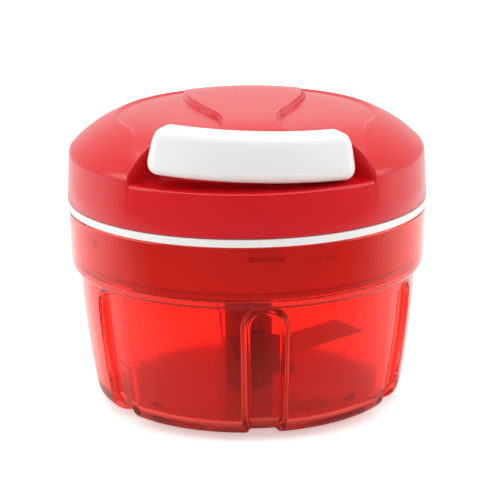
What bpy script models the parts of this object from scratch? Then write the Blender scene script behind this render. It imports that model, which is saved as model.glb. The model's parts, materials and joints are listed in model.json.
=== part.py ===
"""Pull-cord food chopper: a domed lid with a recoil reel inside, a white pull
handle, and a clear bowl with three blades on a column.

All sizes below are in millimetres and all angles in degrees. Meshes are scaled
to metres when they are made. +Z is up, the pull handle faces -Y, and the
origin is the middle of the bowl's foot.
"""
import math

import bmesh
import bpy
from mathutils import Matrix, Vector

MM = 0.001

# General fits
GAP = 0.3
ROUND_STEPS = 40
SMALL_STEPS = 24

# Ring between bowl and lid, whose radius the bowl, the lid and the handle follow
FLANGE_RADIUS = 65.0
FLANGE_HEIGHT = 2.8
FLANGE_LIP = 0.3

# Bowl
WALL = 2.2
FOOT_RIM_WIDTH = 8.0
FOOT_ROUND_WIDTH = 10.0
FOOT_HOLLOW = 1.0
STUD_COUNT = 6
STUD_HEIGHT = 0.5
STUD_RADIUS = 2.2
FOOT_HOLLOW_STEPS = 4
FOOT_RISE = 6.5
BOWL_TAPER = 4.9
BOWL_SWELL = 1.6
FLOOR_TOP = 3.4
SHOULDER_Z = 49.3
SHOULDER_RISE = 5.4
SHOULDER_STEP = 3.3
COLLAR_FLARE = 0.5
COLLAR_WALL = 2.1
RIM_Z = 72.0
LEDGE_THICKNESS = 2.4
BOWL_TURN = 3.7

# Flutes pressed into the bowl's wall
FLUTE_COUNT = 6
FLUTE_WIDTH = 11.8
FLUTE_DEPTH = 2.6
FLUTE_TOP_GAP = 1.6
FLUTE_FOOT_NOTCH = 1.1
FLUTE_NOTCH_REACH = 6.0

# Bayonet between the bowl and the lid
CATCH_COUNT = 4
CATCH_LENGTH = 12.6
CATCH_HEIGHT = 2.4
CATCH_DROP = 3.1
CATCH_GRIP = 1.5
CATCH_STOP_WIDTH = 1.8
LUG_LENGTH = 10.6
LUG_HEIGHT = 3.0
TWIST = 20.0

# Blade column and its steel pin
PIN_RADIUS = 2.0
PIN_TOP = 38.0
PIN_SOCKET = 6.2
BOSS_RADIUS = 6.0
BOSS_HEIGHT = 5.0
COLUMN_RADIUS = 8.75
COLUMN_TOP = 66.0

# Blades: height of the root, direction seen from above, upward tilt
BLADE_THICKNESS = 1.2
BLADE_CLEARANCE = 4.7
BLADE_WIDTH = 18.8
BLADE_END_SKEW = 0.6
BLADE_ROOT_GAP = 0.8
BLADE_SHOULDER = 2.2
BLADE_TANG_WIDTH = 9.0
BLADE_TANG_DEPTH = 5.2
BLADE_EDGE = 2.6
BLADE_LOWER_Z = 12.4
BLADE_MIDDLE_Z = 24.8
BLADE_UPPER_Z = 34.0
BLADE_LEVELS = {
    "blade_lower": (BLADE_LOWER_Z, 30.0, 5.0),
    "blade_middle": (BLADE_MIDDLE_Z, -83.5, -4.0),
    "blade_upper": (BLADE_UPPER_Z, 150.0, 3.0),
}

# Claw coupling between the drive hub and the blade column
DOG_COUNT = 3
DOG_ANGLE = 30.0
DOG_HEIGHT = 4.0
DOG_BORE = 2.6

# Mechanism base: flange, plate, skirt and shaft bush
SKIRT_WALL = 2.0
BUSH_WALL = 3.0
BUSH_DROP = 4.3
BUSH_RISE = 4.8
SPIGOT_HEIGHT = 2.5
SPIGOT_WALL = 1.6
SEAL_WIDTH = 3.0
SEAL_HEIGHT = 2.1

# Lid cover: side wall, dome, scoops and bridge
COVER_WALL = 2.4
COVER_DRAFT = 0.9
CREASE_Z = 93.1
CREASE_SOFTNESS = 1.5
DOME_RISE = 15.5
DOME_POWER = 4.5
SCOOP_RISE = 13.5
SCOOP_POWER = 5.0
SCOOP_RIM_WIDTH = 18.1
SCOOP_FLARE = 10.5
SCOOP_FLARE_ANGLE = 65.0
SCOOP_FLARE_SPREAD = 24.0
SCOOP_END = 28.0
BRIDGE_WAIST = 9.6
BRIDGE_BACK = 21.8
BRIDGE_WAIST_Y = -28.0
BRIDGE_SPREAD = 48.0
BRIDGE_FRONT_FLARE = 5.0
BRIDGE_FRONT_RUN = 12.0

# Recess that holds the pull handle
RECESS_DEPTH = 25.5
RECESS_BOW_RADIUS = 127.0
RECESS_SIDE_ANGLE = 38.0
RECESS_CORNER = 3.0
RECESS_FLOOR_Z = 90.5
RECESS_CHAMFER = 2.2
RECESS_WALL = 2.0

# Screws that hold the mechanism base to the lid cover
SCREW_INSET = 15.0
SCREW_ANGLES = (50.0, 130.0, 230.0, 310.0)
SCREW_RADIUS = 1.45
SCREW_LENGTH = 12.0
SCREW_HEAD_RADIUS = 3.0
SCREW_HEAD_HEIGHT = 1.7
SCREW_BOSS_RADIUS = 3.4

# Spindle, drive hub and pawls
ARBOR_RADIUS = 4.0
ARBOR_BOTTOM = 85.5
SPINDLE_RADIUS = 1.5
SPINDLE_LENGTH = 18.0
SHAFT_RADIUS = 5.9
HUB_DISC_RADIUS = 19.0
HUB_DISC_HEIGHT = 3.0
PAWL_HEIGHT = 5.8
PAWL_PIVOT_RADIUS = 11.0
PAWL_LEAD = 55.0
PAWL_PLAY = 8.0
PAWL_EYE = 2.3
PAWL_POST = 1.2
PAWL_TIP_WIDTH = 2.4
PAWL_COUNT = 2

# Reel with its ratchet ring, cord drum and spring cup
RATCHET_TEETH = 12
RATCHET_TIP_RADIUS = 15.8
RATCHET_TOOTH_DEPTH = 2.0
RATCHET_WALL = 2.4
RATCHET_DEPTH = 6.2
REEL_WEB = 1.6
REEL_HUB_RADIUS = 6.5
REEL_HUB_DROP = 2.6
DRUM_RADIUS = 17.6
DRUM_WIDTH = 8.8
DRUM_WALL = 2.2
FLANGE_OVERHANG = 7.4
CAP_HEIGHT = 1.4
CAP_LEDGE = 1.0

# Spiral recoil spring
SPRING_THICKNESS = 0.5
SPRING_HEIGHT = 6.8
SPRING_TURNS = 5
SPRING_SLOT = 1.1

# Cord
CORD_DIAMETER = 2.0
CORD_Z = 98.8
CORD_TURNS = 2.5
CORD_PITCH = 2.45
CORD_LOOP_POINTS = 24
CORD_BEND_SETBACK = 6.0
EYELET_WALL = 0.7
EYELET_BORE = 1.5
EYELET_FLANGE = 3.4

# Pull handle
HANDLE_SETBACK = 4.0
HANDLE_END_GAP = 4.3
HANDLE_FRONT_RADIUS = 70.0
HANDLE_DEPTH = 14.6
HANDLE_BOTTOM = 93.0
HANDLE_HEIGHT = 15.9
HANDLE_ANGLE = 32.4
HANDLE_END_SLANT = 2.3
HANDLE_LEAN = 2.5
HANDLE_EDGE = 3.4
HANDLE_END_RADIUS = 5.0
HANDLE_TILT = 2.8
HANDLE_WALL = 2.2
HANDLE_COVER_THICKNESS = 2.0
HANDLE_COVER_LEDGE = 1.2
KNOT_RADIUS = 2.6

# Heights and radii that follow from the sizes above
COLLAR_RADIUS = FLANGE_RADIUS - FLANGE_LIP - COLLAR_FLARE
BOWL_TOP_RADIUS = COLLAR_RADIUS - SHOULDER_STEP
BOWL_FOOT_RADIUS = BOWL_TOP_RADIUS - BOWL_TAPER
FOOT_FLAT_RADIUS = BOWL_FOOT_RADIUS - FOOT_ROUND_WIDTH
FOOT_INNER_RADIUS = FOOT_FLAT_RADIUS - FOOT_RIM_WIDTH
BLADE_REACH = BOWL_FOOT_RADIUS - WALL - FLUTE_DEPTH - BLADE_CLEARANCE
COLLAR_INNER = COLLAR_RADIUS - COLLAR_WALL
LEDGE_Z = SHOULDER_Z + LEDGE_THICKNESS + 0.6
SKIRT_BOTTOM = LEDGE_Z + SEAL_HEIGHT + 2 * GAP
CATCH_TOP = RIM_Z - CATCH_DROP
CATCH_INNER = COLLAR_INNER - CATCH_GRIP
SKIRT_RADIUS = CATCH_INNER - GAP
FLANGE_Z = RIM_Z + GAP
PLATE_TOP = FLANGE_Z + FLANGE_HEIGHT
COVER_BOTTOM = PLATE_TOP + GAP
COVER_TOP_RADIUS = FLANGE_RADIUS - COVER_DRAFT
SCOOP_RADIUS = COVER_TOP_RADIUS - SCOOP_RIM_WIDTH
SCREW_CIRCLE_RADIUS = FLANGE_RADIUS - SCREW_INSET
RECESS_BACK = FLANGE_RADIUS - RECESS_DEPTH
CORD_BEND_Y = CORD_BEND_SETBACK - RECESS_BACK
BUSH_BORE = SHAFT_RADIUS + GAP
HUB_DISC_BOTTOM = PLATE_TOP + BUSH_RISE + GAP
HUB_DISC_TOP = HUB_DISC_BOTTOM + HUB_DISC_HEIGHT
REEL_BOTTOM = HUB_DISC_TOP + GAP
REEL_WEB_Z = REEL_BOTTOM + RATCHET_DEPTH + GAP
WINDING_FLOOR = REEL_WEB_Z + REEL_WEB
UPPER_FLANGE_Z = WINDING_FLOOR + DRUM_WIDTH
REEL_TOP = UPPER_FLANGE_Z + REEL_WEB
REEL_FLANGE_RADIUS = DRUM_RADIUS + FLANGE_OVERHANG
CUP_RADIUS = DRUM_RADIUS - DRUM_WALL
CAP_SEAT_Z = REEL_TOP - CAP_HEIGHT - 2 * GAP
WINDING_RADIUS = DRUM_RADIUS + GAP + CORD_DIAMETER / 2
LEAD_RADIUS = WINDING_RADIUS + CORD_DIAMETER + GAP
HANDLE_BACK_RADIUS = HANDLE_FRONT_RADIUS - HANDLE_DEPTH
HANDLE_CENTRE_Y = HANDLE_FRONT_RADIUS - (FLANGE_RADIUS - HANDLE_SETBACK)
HANDLE_HALF_LENGTH = HANDLE_FRONT_RADIUS * math.sin(math.radians(HANDLE_ANGLE))
RECESS_HALF_WIDTH = HANDLE_HALF_LENGTH + HANDLE_END_GAP
HANDLE_MIDDLE_Z = HANDLE_BOTTOM + HANDLE_HEIGHT / 2

MATERIALS = {
    "clear_red_plastic": ((0.80, 0.02, 0.02, 0.45), 0.12, 0.0),
    "red_plastic": ((0.62, 0.01, 0.02, 1.0), 0.28, 0.0),
    "dark_red_plastic": ((0.34, 0.01, 0.02, 1.0), 0.35, 0.0),
    "white_plastic": ((0.86, 0.86, 0.84, 1.0), 0.35, 0.0),
    "grey_acetal": ((0.42, 0.43, 0.45, 1.0), 0.42, 0.0),
    "silicone": ((0.78, 0.78, 0.76, 1.0), 0.6, 0.0),
    "blade_steel": ((0.62, 0.63, 0.65, 1.0), 0.22, 1.0),
    "spring_steel": ((0.30, 0.32, 0.38, 1.0), 0.3, 1.0),
    "screw_steel": ((0.55, 0.56, 0.58, 1.0), 0.3, 1.0),
    "cord_nylon": ((0.85, 0.85, 0.83, 1.0), 0.75, 0.0),
}


def clear_scene():
    """Remove whatever the open file holds."""
    for thing in list(bpy.data.objects):
        bpy.data.objects.remove(thing, do_unlink=True)


def material(name):
    """Return the named material, made on first use."""
    found = bpy.data.materials.get(name)
    if found:
        return found
    colour, roughness, metallic = MATERIALS[name]
    made = bpy.data.materials.new(name)
    made.use_nodes = True
    shader = made.node_tree.nodes["Principled BSDF"]
    shader.inputs["Base Color"].default_value = colour
    shader.inputs["Roughness"].default_value = roughness
    shader.inputs["Metallic"].default_value = metallic
    shader.inputs["Alpha"].default_value = colour[3]
    made.diffuse_color = colour
    return made


def empty(name, parent=None):
    """Make an empty that stands on the vertical axis and carries a group."""
    holder = bpy.data.objects.new(name, None)
    bpy.context.collection.objects.link(holder)
    holder.parent = parent
    return holder


def place(shape, name, finish=None, parent=None, location=(0, 0, 0)):
    """Turn a bmesh in millimetres into an object in metres."""
    bmesh.ops.recalc_face_normals(shape, faces=shape.faces)
    bmesh.ops.scale(shape, vec=(MM, MM, MM), verts=shape.verts)
    mesh = bpy.data.meshes.new(name)
    shape.to_mesh(mesh)
    shape.free()
    thing = bpy.data.objects.new(name, mesh)
    bpy.context.collection.objects.link(thing)
    thing.location = Vector(location) * MM
    thing.parent = parent
    if finish:
        mesh.materials.append(material(finish))
    return thing


def combine(target, tool, operation):
    """Apply one Boolean of a tool object to a target, and remove the tool."""
    bpy.context.view_layer.update()
    modifier = target.modifiers.new(operation.lower(), "BOOLEAN")
    modifier.operation = operation
    modifier.object = tool
    graph = bpy.context.evaluated_depsgraph_get()
    mesh = bpy.data.meshes.new_from_object(target.evaluated_get(graph))
    target.modifiers.clear()
    target.data = mesh
    bpy.data.objects.remove(tool, do_unlink=True)
    return target


def cut(target, *tools):
    for tool in tools:
        combine(target, tool, "DIFFERENCE")
    return target


def add(target, *tools):
    for tool in tools:
        combine(target, tool, "UNION")
    return target


def finish(thing, name, sharp=35.0):
    """Name a finished piece and shade its round faces smooth."""
    thing.name = name
    thing.data.name = name
    thing.data.shade_smooth()
    thing.data.set_sharp_from_angle(angle=math.radians(sharp))
    return thing


def polar(radius, angle):
    """Point in plan; angle 0 is the front, -Y, and grows towards +X."""
    turn = math.radians(angle)
    return radius * math.sin(turn), -radius * math.cos(turn)


def around(angle):
    """Turn about the vertical axis that carries the front to a plan angle."""
    return Matrix.Rotation(math.radians(angle), 4, "Z")


def soft_corner(start, corner, end, steps):
    """Points of a curve that rounds a corner between two points."""
    points = []
    for step in range(steps + 1):
        t = step / steps
        weights = ((1 - t) ** 2, 2 * t * (1 - t), t * t)
        points.append(tuple(
            weights[0] * a + weights[1] * b + weights[2] * c
            for a, b, c in zip(start, corner, end)))
    return points


def turned(profile, steps=ROUND_STEPS):
    """Spin a profile of (radius, height) points about Z into a closed solid.

    A profile that starts and ends on the axis makes a plug, and any other is
    closed into a ring.
    """
    shape = bmesh.new()
    points = [shape.verts.new((radius, 0, height)) for radius, height in profile]
    edges = [shape.edges.new(pair) for pair in zip(points, points[1:])]
    if profile[0][0] > 0:
        edges.append(shape.edges.new((points[-1], points[0])))
    bmesh.ops.spin(shape, geom=points + edges, cent=(0, 0, 0), axis=(0, 0, 1),
                   angle=math.tau, steps=steps, use_merge=True)
    bmesh.ops.remove_doubles(shape, verts=shape.verts, dist=0.0005)
    return shape


def rod(radius, low, high, steps=SMALL_STEPS):
    return turned([(0, low), (radius, low), (radius, high), (0, high)], steps)


def loft(rings):
    """Skin a stack of closed rings of 3-D points and cap both ends."""
    shape = bmesh.new()
    rows = [[shape.verts.new(point) for point in ring] for ring in rings]
    for lower, upper in zip(rows, rows[1:]):
        for i in range(len(lower)):
            j = (i + 1) % len(lower)
            shape.faces.new((lower[i], lower[j], upper[j], upper[i]))
    shape.faces.new(rows[0])
    shape.faces.new(rows[-1])
    return shape


def prism(outline, low, high):
    """Extrude a plan outline between two heights."""
    return loft([[(x, y, z) for x, y in outline] for z in (low, high)])


def sector_outline(inner, outer, start, end, step=3.0):
    """Plan outline of a piece of a ring."""
    count = max(2, math.ceil((end - start) / step))
    angles = [start + (end - start) * i / count for i in range(count + 1)]
    outside = [polar(outer, angle) for angle in angles]
    inside = [polar(inner, angle) for angle in reversed(angles)]
    return outside + inside


def sector(inner, outer, start, end, low, high):
    return prism(sector_outline(inner, outer, start, end), low, high)


def wall_radius(height):
    """Outer radius of the bowl's wall, which swells a little below the collar."""
    rise = (height - FOOT_RISE) / (SHOULDER_Z - FOOT_RISE)
    taper = BOWL_TOP_RADIUS - BOWL_FOOT_RADIUS
    return BOWL_TOP_RADIUS - taper * max(0.0, 1 - rise) ** BOWL_SWELL


def wall_profile(inset, bottom, flat_radius, low, high, rows=5):
    """Foot curve and wall of the bowl, moved inwards by an inset."""
    foot = []
    top_radius = wall_radius(low) - inset
    for step in range(5):
        turn = math.radians(90 * step / 4)
        radius = flat_radius + (top_radius - flat_radius) * math.sin(turn)
        foot.append((radius, bottom + (low - bottom) * (1 - math.cos(turn))))
    heights = [low + (high - low) * i / rows for i in range(1, rows + 1)]
    return foot + [(wall_radius(z) - inset, z) for z in heights]


def flute_arch(half_width, top, turn):
    """Radial tool with the arched outline of one flute."""
    outline = [(-half_width, -5.0), (half_width, -5.0)]
    for step in range(11):
        angle = math.pi * step / 10
        outline.append((half_width * math.cos(angle),
                        top - half_width + half_width * math.sin(angle)))
    near = FOOT_FLAT_RADIUS - FLUTE_NOTCH_REACH
    far = FLANGE_RADIUS + 10
    shape = loft([[(x, -depth, z) for x, z in outline] for depth in (near, far)])
    bmesh.ops.transform(shape, matrix=around(turn), verts=shape.verts)
    return shape


def make_bowl(parent):
    turns = [BOWL_TURN + 360 * i / FLUTE_COUNT for i in range(FLUTE_COUNT)]
    collar_top = COLLAR_RADIUS + COLLAR_FLARE
    flute_top = SHOULDER_Z - FLUTE_TOP_GAP

    outside = [(0, FOOT_HOLLOW)]
    for step in range(1, FOOT_HOLLOW_STEPS + 1):
        share = step / FOOT_HOLLOW_STEPS
        outside.append((FOOT_INNER_RADIUS * share,
                        STUD_HEIGHT + (FOOT_HOLLOW - STUD_HEIGHT) * (1 - share ** 3)))
    outside += wall_profile(0, STUD_HEIGHT, FOOT_FLAT_RADIUS, FOOT_RISE, SHOULDER_Z)
    outside += soft_corner((BOWL_TOP_RADIUS + 0.4, SHOULDER_Z + 0.3),
                           (COLLAR_RADIUS, SHOULDER_Z + 0.8),
                           (COLLAR_RADIUS, SHOULDER_Z + SHOULDER_RISE), 4)
    outside += [(collar_top, RIM_Z - 0.6), (collar_top - 0.5, RIM_Z), (0, RIM_Z)]
    bowl = place(turned(outside), "bowl", "clear_red_plastic", parent)

    floor_core = [(0, FLUTE_FOOT_NOTCH)]
    floor_core += wall_profile(FLUTE_DEPTH, FLUTE_FOOT_NOTCH, FOOT_FLAT_RADIUS - FLUTE_DEPTH,
                               FOOT_RISE + FLUTE_FOOT_NOTCH, SHOULDER_Z + 8)
    floor_core.append((0, SHOULDER_Z + 8))
    for turn in turns:
        tool = place(flute_arch(FLUTE_WIDTH / 2, flute_top, turn), "flute_tool")
        cut(tool, place(turned(floor_core), "flute_floor"))
        cut(bowl, tool)

    hollow = [(0, FLOOR_TOP)]
    hollow += wall_profile(WALL, FLOOR_TOP, FOOT_FLAT_RADIUS + 1, FOOT_RISE + FLOOR_TOP, LEDGE_Z)
    hollow += [(COLLAR_INNER, LEDGE_Z), (COLLAR_INNER, RIM_Z + 1), (0, RIM_Z + 1)]
    inside = place(turned(hollow), "hollow")
    inner_core = [(0, FLOOR_TOP - 0.4)]
    inner_core += wall_profile(WALL + FLUTE_DEPTH, FLOOR_TOP - 0.4, FOOT_FLAT_RADIUS - FLUTE_DEPTH,
                               FOOT_RISE + FLOOR_TOP, LEDGE_Z + 4)
    inner_core.append((0, LEDGE_Z + 4))
    for turn in turns:
        tool = place(flute_arch(FLUTE_WIDTH / 2 + WALL * 0.8, flute_top + WALL * 0.8, turn),
                     "rib_tool")
        cut(tool, place(turned(inner_core), "rib_face"))
        cut(inside, tool)
    cut(bowl, inside)

    boss_top = FLOOR_TOP + BOSS_HEIGHT
    add(bowl, place(rod(BOSS_RADIUS, FLOOR_TOP - 1.2, boss_top, 36), "boss"))
    cut(bowl, place(rod(PIN_RADIUS + GAP, boss_top - PIN_SOCKET, boss_top + 1), "pin_hole"))
    for i in range(CATCH_COUNT):
        add(bowl, catch(BOWL_TURN + 360 * i / CATCH_COUNT, i > 0))
    for i in range(STUD_COUNT):
        add(bowl, foot_stud(BOWL_TURN + 360 * (i + 0.5) / STUD_COUNT))
    return finish(bowl, "bowl")


def foot_stud(turn):
    """Low domed stud under the flat rim of the foot; the bowl rests on six of them."""
    top = STUD_HEIGHT + 0.6
    profile = [(0, 0), (STUD_RADIUS * 0.68, STUD_HEIGHT * 0.66),
               (STUD_RADIUS, STUD_HEIGHT + 0.1), (STUD_RADIUS, top), (0, top)]
    stud = turned(profile, 12)
    middle = FOOT_FLAT_RADIUS - FOOT_RIM_WIDTH / 2
    bmesh.ops.translate(stud, verts=stud.verts, vec=(*polar(middle, turn), 0))
    return place(stud, "foot_stud")


def catch(turn, has_stop):
    """Catch on the inside of the collar; a foot on it stops the lid's lug."""
    half = math.degrees(CATCH_LENGTH / 2 / COLLAR_INNER)
    stop = math.degrees(CATCH_STOP_WIDTH / COLLAR_INNER)
    outer = COLLAR_RADIUS - COLLAR_WALL / 2
    low = CATCH_TOP - CATCH_HEIGHT
    bar = place(sector(CATCH_INNER, outer, turn - half - stop, turn + half, low, CATCH_TOP),
                "catch")
    if not has_stop:
        return bar
    foot = place(sector(CATCH_INNER, outer, turn - half - stop, turn - half,
                        low - LUG_HEIGHT - GAP, low + 0.5), "catch_stop")
    return add(bar, foot)


def make_centre_pin(parent):
    low = FLOOR_TOP + BOSS_HEIGHT - PIN_SOCKET + GAP
    profile = [(0, low), (PIN_RADIUS, low), (PIN_RADIUS, PIN_TOP - 1.2)]
    profile += soft_corner((PIN_RADIUS, PIN_TOP - 1.0), (PIN_RADIUS, PIN_TOP),
                           (0, PIN_TOP), 3)
    return finish(place(turned(profile, SMALL_STEPS), "centre_pin", "blade_steel", parent),
                  "centre_pin")


def blade_outline(inset):
    """Plan of a blade pointing along +X; inset grinds its two cutting sides."""
    half = BLADE_WIDTH / 2
    root = COLUMN_RADIUS + BLADE_ROOT_GAP
    shoulder = root + BLADE_SHOULDER
    tail = COLUMN_RADIUS - BLADE_TANG_DEPTH
    return [
        (tail, -BLADE_TANG_WIDTH / 2),
        (root, -BLADE_TANG_WIDTH / 2),
        (shoulder, -half + inset),
        (BLADE_REACH - BLADE_SHOULDER, -half + inset),
        (BLADE_REACH - inset * 0.4, -half + BLADE_END_SKEW + inset),
        (BLADE_REACH - BLADE_END_SKEW - inset * 0.4, half),
        (shoulder, half),
        (root, BLADE_TANG_WIDTH / 2),
        (tail, BLADE_TANG_WIDTH / 2),
    ]


def blade_frame(height, turn, tilt):
    """Place of a blade's root on the column."""
    swing = Matrix.Rotation(math.radians(turn), 4, "Z")
    lift = Matrix.Rotation(math.radians(-tilt), 4, "Y")
    return Matrix.Translation((0, 0, height)) @ swing @ lift


def tang_slot(clearance):
    """Tool for the slot in the column that takes a blade's tongue."""
    start = COLUMN_RADIUS - BLADE_TANG_DEPTH - clearance
    end = COLUMN_RADIUS + 1.0 + 4 * clearance
    half = BLADE_TANG_WIDTH / 2 + clearance
    thick = BLADE_THICKNESS / 2 + clearance
    outline = [(start, -half), (end, -half), (end, half), (start, half)]
    return prism(outline, -thick, thick)


def make_blade(name, parent):
    frame = blade_frame(*BLADE_LEVELS[name])
    half = BLADE_THICKNESS / 2
    body = loft([
        [(x, y, -half) for x, y in blade_outline(BLADE_EDGE)],
        [(x, y, half * 0.6) for x, y in blade_outline(0.3)],
        [(x, y, half) for x, y in blade_outline(0)],
    ])
    bmesh.ops.transform(body, matrix=frame, verts=body.verts)
    return finish(place(body, name, "blade_steel", parent), name, 12.0)


def dogs(turn, low, high):
    """Ring of claws on the end of a shaft."""
    pieces = []
    for i in range(DOG_COUNT):
        middle = turn + 360 * i / DOG_COUNT
        pieces.append(place(sector(DOG_BORE, SHAFT_RADIUS, middle - DOG_ANGLE / 2,
                                   middle + DOG_ANGLE / 2, low, high), "dog"))
    return pieces


def make_blade_column(parent):
    boss_top = FLOOR_TOP + BOSS_HEIGHT
    bore = PIN_RADIUS + GAP
    skirt = BOSS_RADIUS + GAP
    column = place(turned([
        (0, PIN_TOP + GAP), (bore, PIN_TOP + GAP), (bore, boss_top + GAP),
        (skirt, boss_top + GAP), (skirt, FLOOR_TOP + GAP), (COLUMN_RADIUS, FLOOR_TOP + GAP),
        (COLUMN_RADIUS, COLUMN_TOP - 1), (COLUMN_RADIUS - 1, COLUMN_TOP), (0, COLUMN_TOP),
    ], 30), "blade_column", "dark_red_plastic", parent)
    for level in BLADE_LEVELS.values():
        slot = tang_slot(GAP)
        bmesh.ops.transform(slot, matrix=blade_frame(*level), verts=slot.verts)
        cut(column, place(slot, "slot"))
    add(column, *dogs(0, COLUMN_TOP - 0.5, COLUMN_TOP + DOG_HEIGHT))
    return finish(column, "blade_column")


def make_seal_ring(parent):
    low = LEDGE_Z + GAP
    high = SKIRT_BOTTOM - GAP
    inner = SKIRT_RADIUS - SEAL_WIDTH
    outer = SKIRT_RADIUS
    middle = (low + high) / 2
    profile = [(inner, low + 0.4), (inner + 0.4, low), (outer - 0.6, low), (outer, middle),
               (outer - 0.6, high), (inner + 0.4, high), (inner, high - 0.4)]
    return finish(place(turned(profile), "seal_ring", "silicone", parent), "seal_ring", 60.0)


def screw_spot(angle):
    return polar(SCREW_CIRCLE_RADIUS, angle)


def make_mechanism_base(parent):
    skirt_inner = SKIRT_RADIUS - SKIRT_WALL
    bush = BUSH_BORE + BUSH_WALL
    spigot = FLANGE_RADIUS - COVER_WALL - GAP
    base = place(turned([
        (BUSH_BORE, FLANGE_Z - BUSH_DROP), (bush, FLANGE_Z - BUSH_DROP), (bush, FLANGE_Z),
        (skirt_inner, FLANGE_Z), (skirt_inner, SKIRT_BOTTOM), (SKIRT_RADIUS, SKIRT_BOTTOM),
        (SKIRT_RADIUS, FLANGE_Z), (FLANGE_RADIUS - 0.3, FLANGE_Z),
        (FLANGE_RADIUS, FLANGE_Z + 0.3), (FLANGE_RADIUS, PLATE_TOP - 0.3),
        (FLANGE_RADIUS - 0.3, PLATE_TOP), (spigot, PLATE_TOP), (spigot, PLATE_TOP + SPIGOT_HEIGHT),
        (spigot - SPIGOT_WALL, PLATE_TOP + SPIGOT_HEIGHT), (spigot - SPIGOT_WALL, PLATE_TOP),
        (bush, PLATE_TOP), (bush, PLATE_TOP + BUSH_RISE), (BUSH_BORE, PLATE_TOP + BUSH_RISE),
    ]), "mechanism_base", "white_plastic", parent)
    for angle in SCREW_ANGLES:
        hole = rod(SCREW_RADIUS + GAP, FLANGE_Z - 1, PLATE_TOP + 1, 12)
        x, y = screw_spot(angle)
        cut(base, place(hole, "screw_hole", location=(x, y, 0)))
    high = CATCH_TOP - CATCH_HEIGHT - GAP
    half = math.degrees(LUG_LENGTH / 2 / COLLAR_INNER)
    for i in range(CATCH_COUNT):
        turn = BOWL_TURN + TWIST + 360 * i / CATCH_COUNT
        lug = sector(SKIRT_RADIUS - SKIRT_WALL / 2, COLLAR_INNER - GAP, turn - half, turn + half,
                     high - LUG_HEIGHT + GAP, high)
        add(base, place(lug, "lug"))
    return finish(base, "mechanism_base")


def crown(radius, rise, power):
    """Height of a dome that is flat on top and steep at its crease."""
    return CREASE_Z + rise * (1 - (radius / COVER_TOP_RADIUS) ** power)


def crown_profile(rise, power, last, rows=9, drop=0.0, shift=0.0):
    """Dome points from the crease side up to the axis."""
    points = []
    for i in range(rows + 1):
        radius = last * math.cos(math.pi / 2 * i / rows)
        if i == rows:
            radius = 0.0
        points.append((radius, crown(radius + shift, rise, power) - drop))
    return points


def scoop_outline(side):
    """Plan of one scoop in the dome, between the bridge and the scoop circle."""
    back_y = math.sqrt(SCOOP_RADIUS ** 2 - BRIDGE_BACK ** 2)
    front_y = -RECESS_BACK - 2
    inner = []
    for i in range(17):
        y = front_y + (back_y - front_y) * i / 16
        inner.append((bridge_half_width(y), y))
    outer = []
    start = math.degrees(math.atan2(BRIDGE_BACK, -back_y))
    for i in range(1, 25):
        angle = start + (SCOOP_END - start) * i / 24
        spread = min(1.1, max(0.0, (SCOOP_FLARE_ANGLE - angle) / SCOOP_FLARE_SPREAD))
        outer.append(polar(SCOOP_RADIUS + SCOOP_FLARE * spread ** 1.5, angle))
    return [(side * x, y) for x, y in inner + outer]


def bridge_half_width(y):
    """Half width of the raised bridge, waisted in front and wide at the back."""
    t = min(1.0, max(0.0, (y - BRIDGE_WAIST_Y) / BRIDGE_SPREAD))
    width = BRIDGE_WAIST + (BRIDGE_BACK - BRIDGE_WAIST) * t * t * (3 - 2 * t)
    ahead = max(0.0, (BRIDGE_WAIST_Y - y) / BRIDGE_FRONT_RUN)
    return width + BRIDGE_FRONT_FLARE * ahead * ahead


def recess_outline(inset, front):
    """Plan of the handle recess, with its walls drawn in by an inset."""
    slope = math.tan(math.radians(RECESS_SIDE_ANGLE))
    shift = inset / math.cos(math.radians(RECESS_SIDE_ANGLE))
    bow = RECESS_BOW_RADIUS + inset
    crease_y = -math.sqrt(COVER_TOP_RADIUS ** 2 - RECESS_HALF_WIDTH ** 2)

    def back_y(x):
        return RECESS_BOW_RADIUS - RECESS_BACK - math.sqrt(bow ** 2 - x ** 2)

    def side_x(y):
        return RECESS_HALF_WIDTH - shift - slope * (y - crease_y)

    x = RECESS_HALF_WIDTH
    for _ in range(40):
        x = (x + side_x(back_y(x))) / 2
    y = back_y(x)
    right = [(side_x(-front), -front)]
    right += soft_corner((side_x(y - RECESS_CORNER), y - RECESS_CORNER), (x, y),
                         (x - RECESS_CORNER, back_y(x - RECESS_CORNER)), 3)
    reach = x - RECESS_CORNER
    middle = [(reach * i / 5, back_y(reach * i / 5)) for i in range(4, -5, -1)]
    return right + middle + [(-x, y) for x, y in reversed(right)]


def recess_tool(top, grow=0.0):
    """Tool for the handle recess, with a chamfer between its floor and walls.

    Grown by a wall, it is the case that closes the recess from inside the lid.
    """
    front = FLANGE_RADIUS + 8
    floor = RECESS_FLOOR_Z - grow
    levels = [(RECESS_CHAMFER - grow, floor), (-grow, floor + RECESS_CHAMFER), (-grow, top)]
    return loft([[(x, y, z) for x, y in recess_outline(inset, front)] for inset, z in levels])


def across(radius, near, far, height, steps=SMALL_STEPS):
    """Rod along Y at a height, between two distances in front of the axis."""
    shape = rod(radius, near, far, steps)
    bmesh.ops.rotate(shape, verts=shape.verts, matrix=Matrix.Rotation(math.radians(90), 3, "X"))
    bmesh.ops.translate(shape, verts=shape.verts, vec=(0, 0, height))
    return shape


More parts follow.
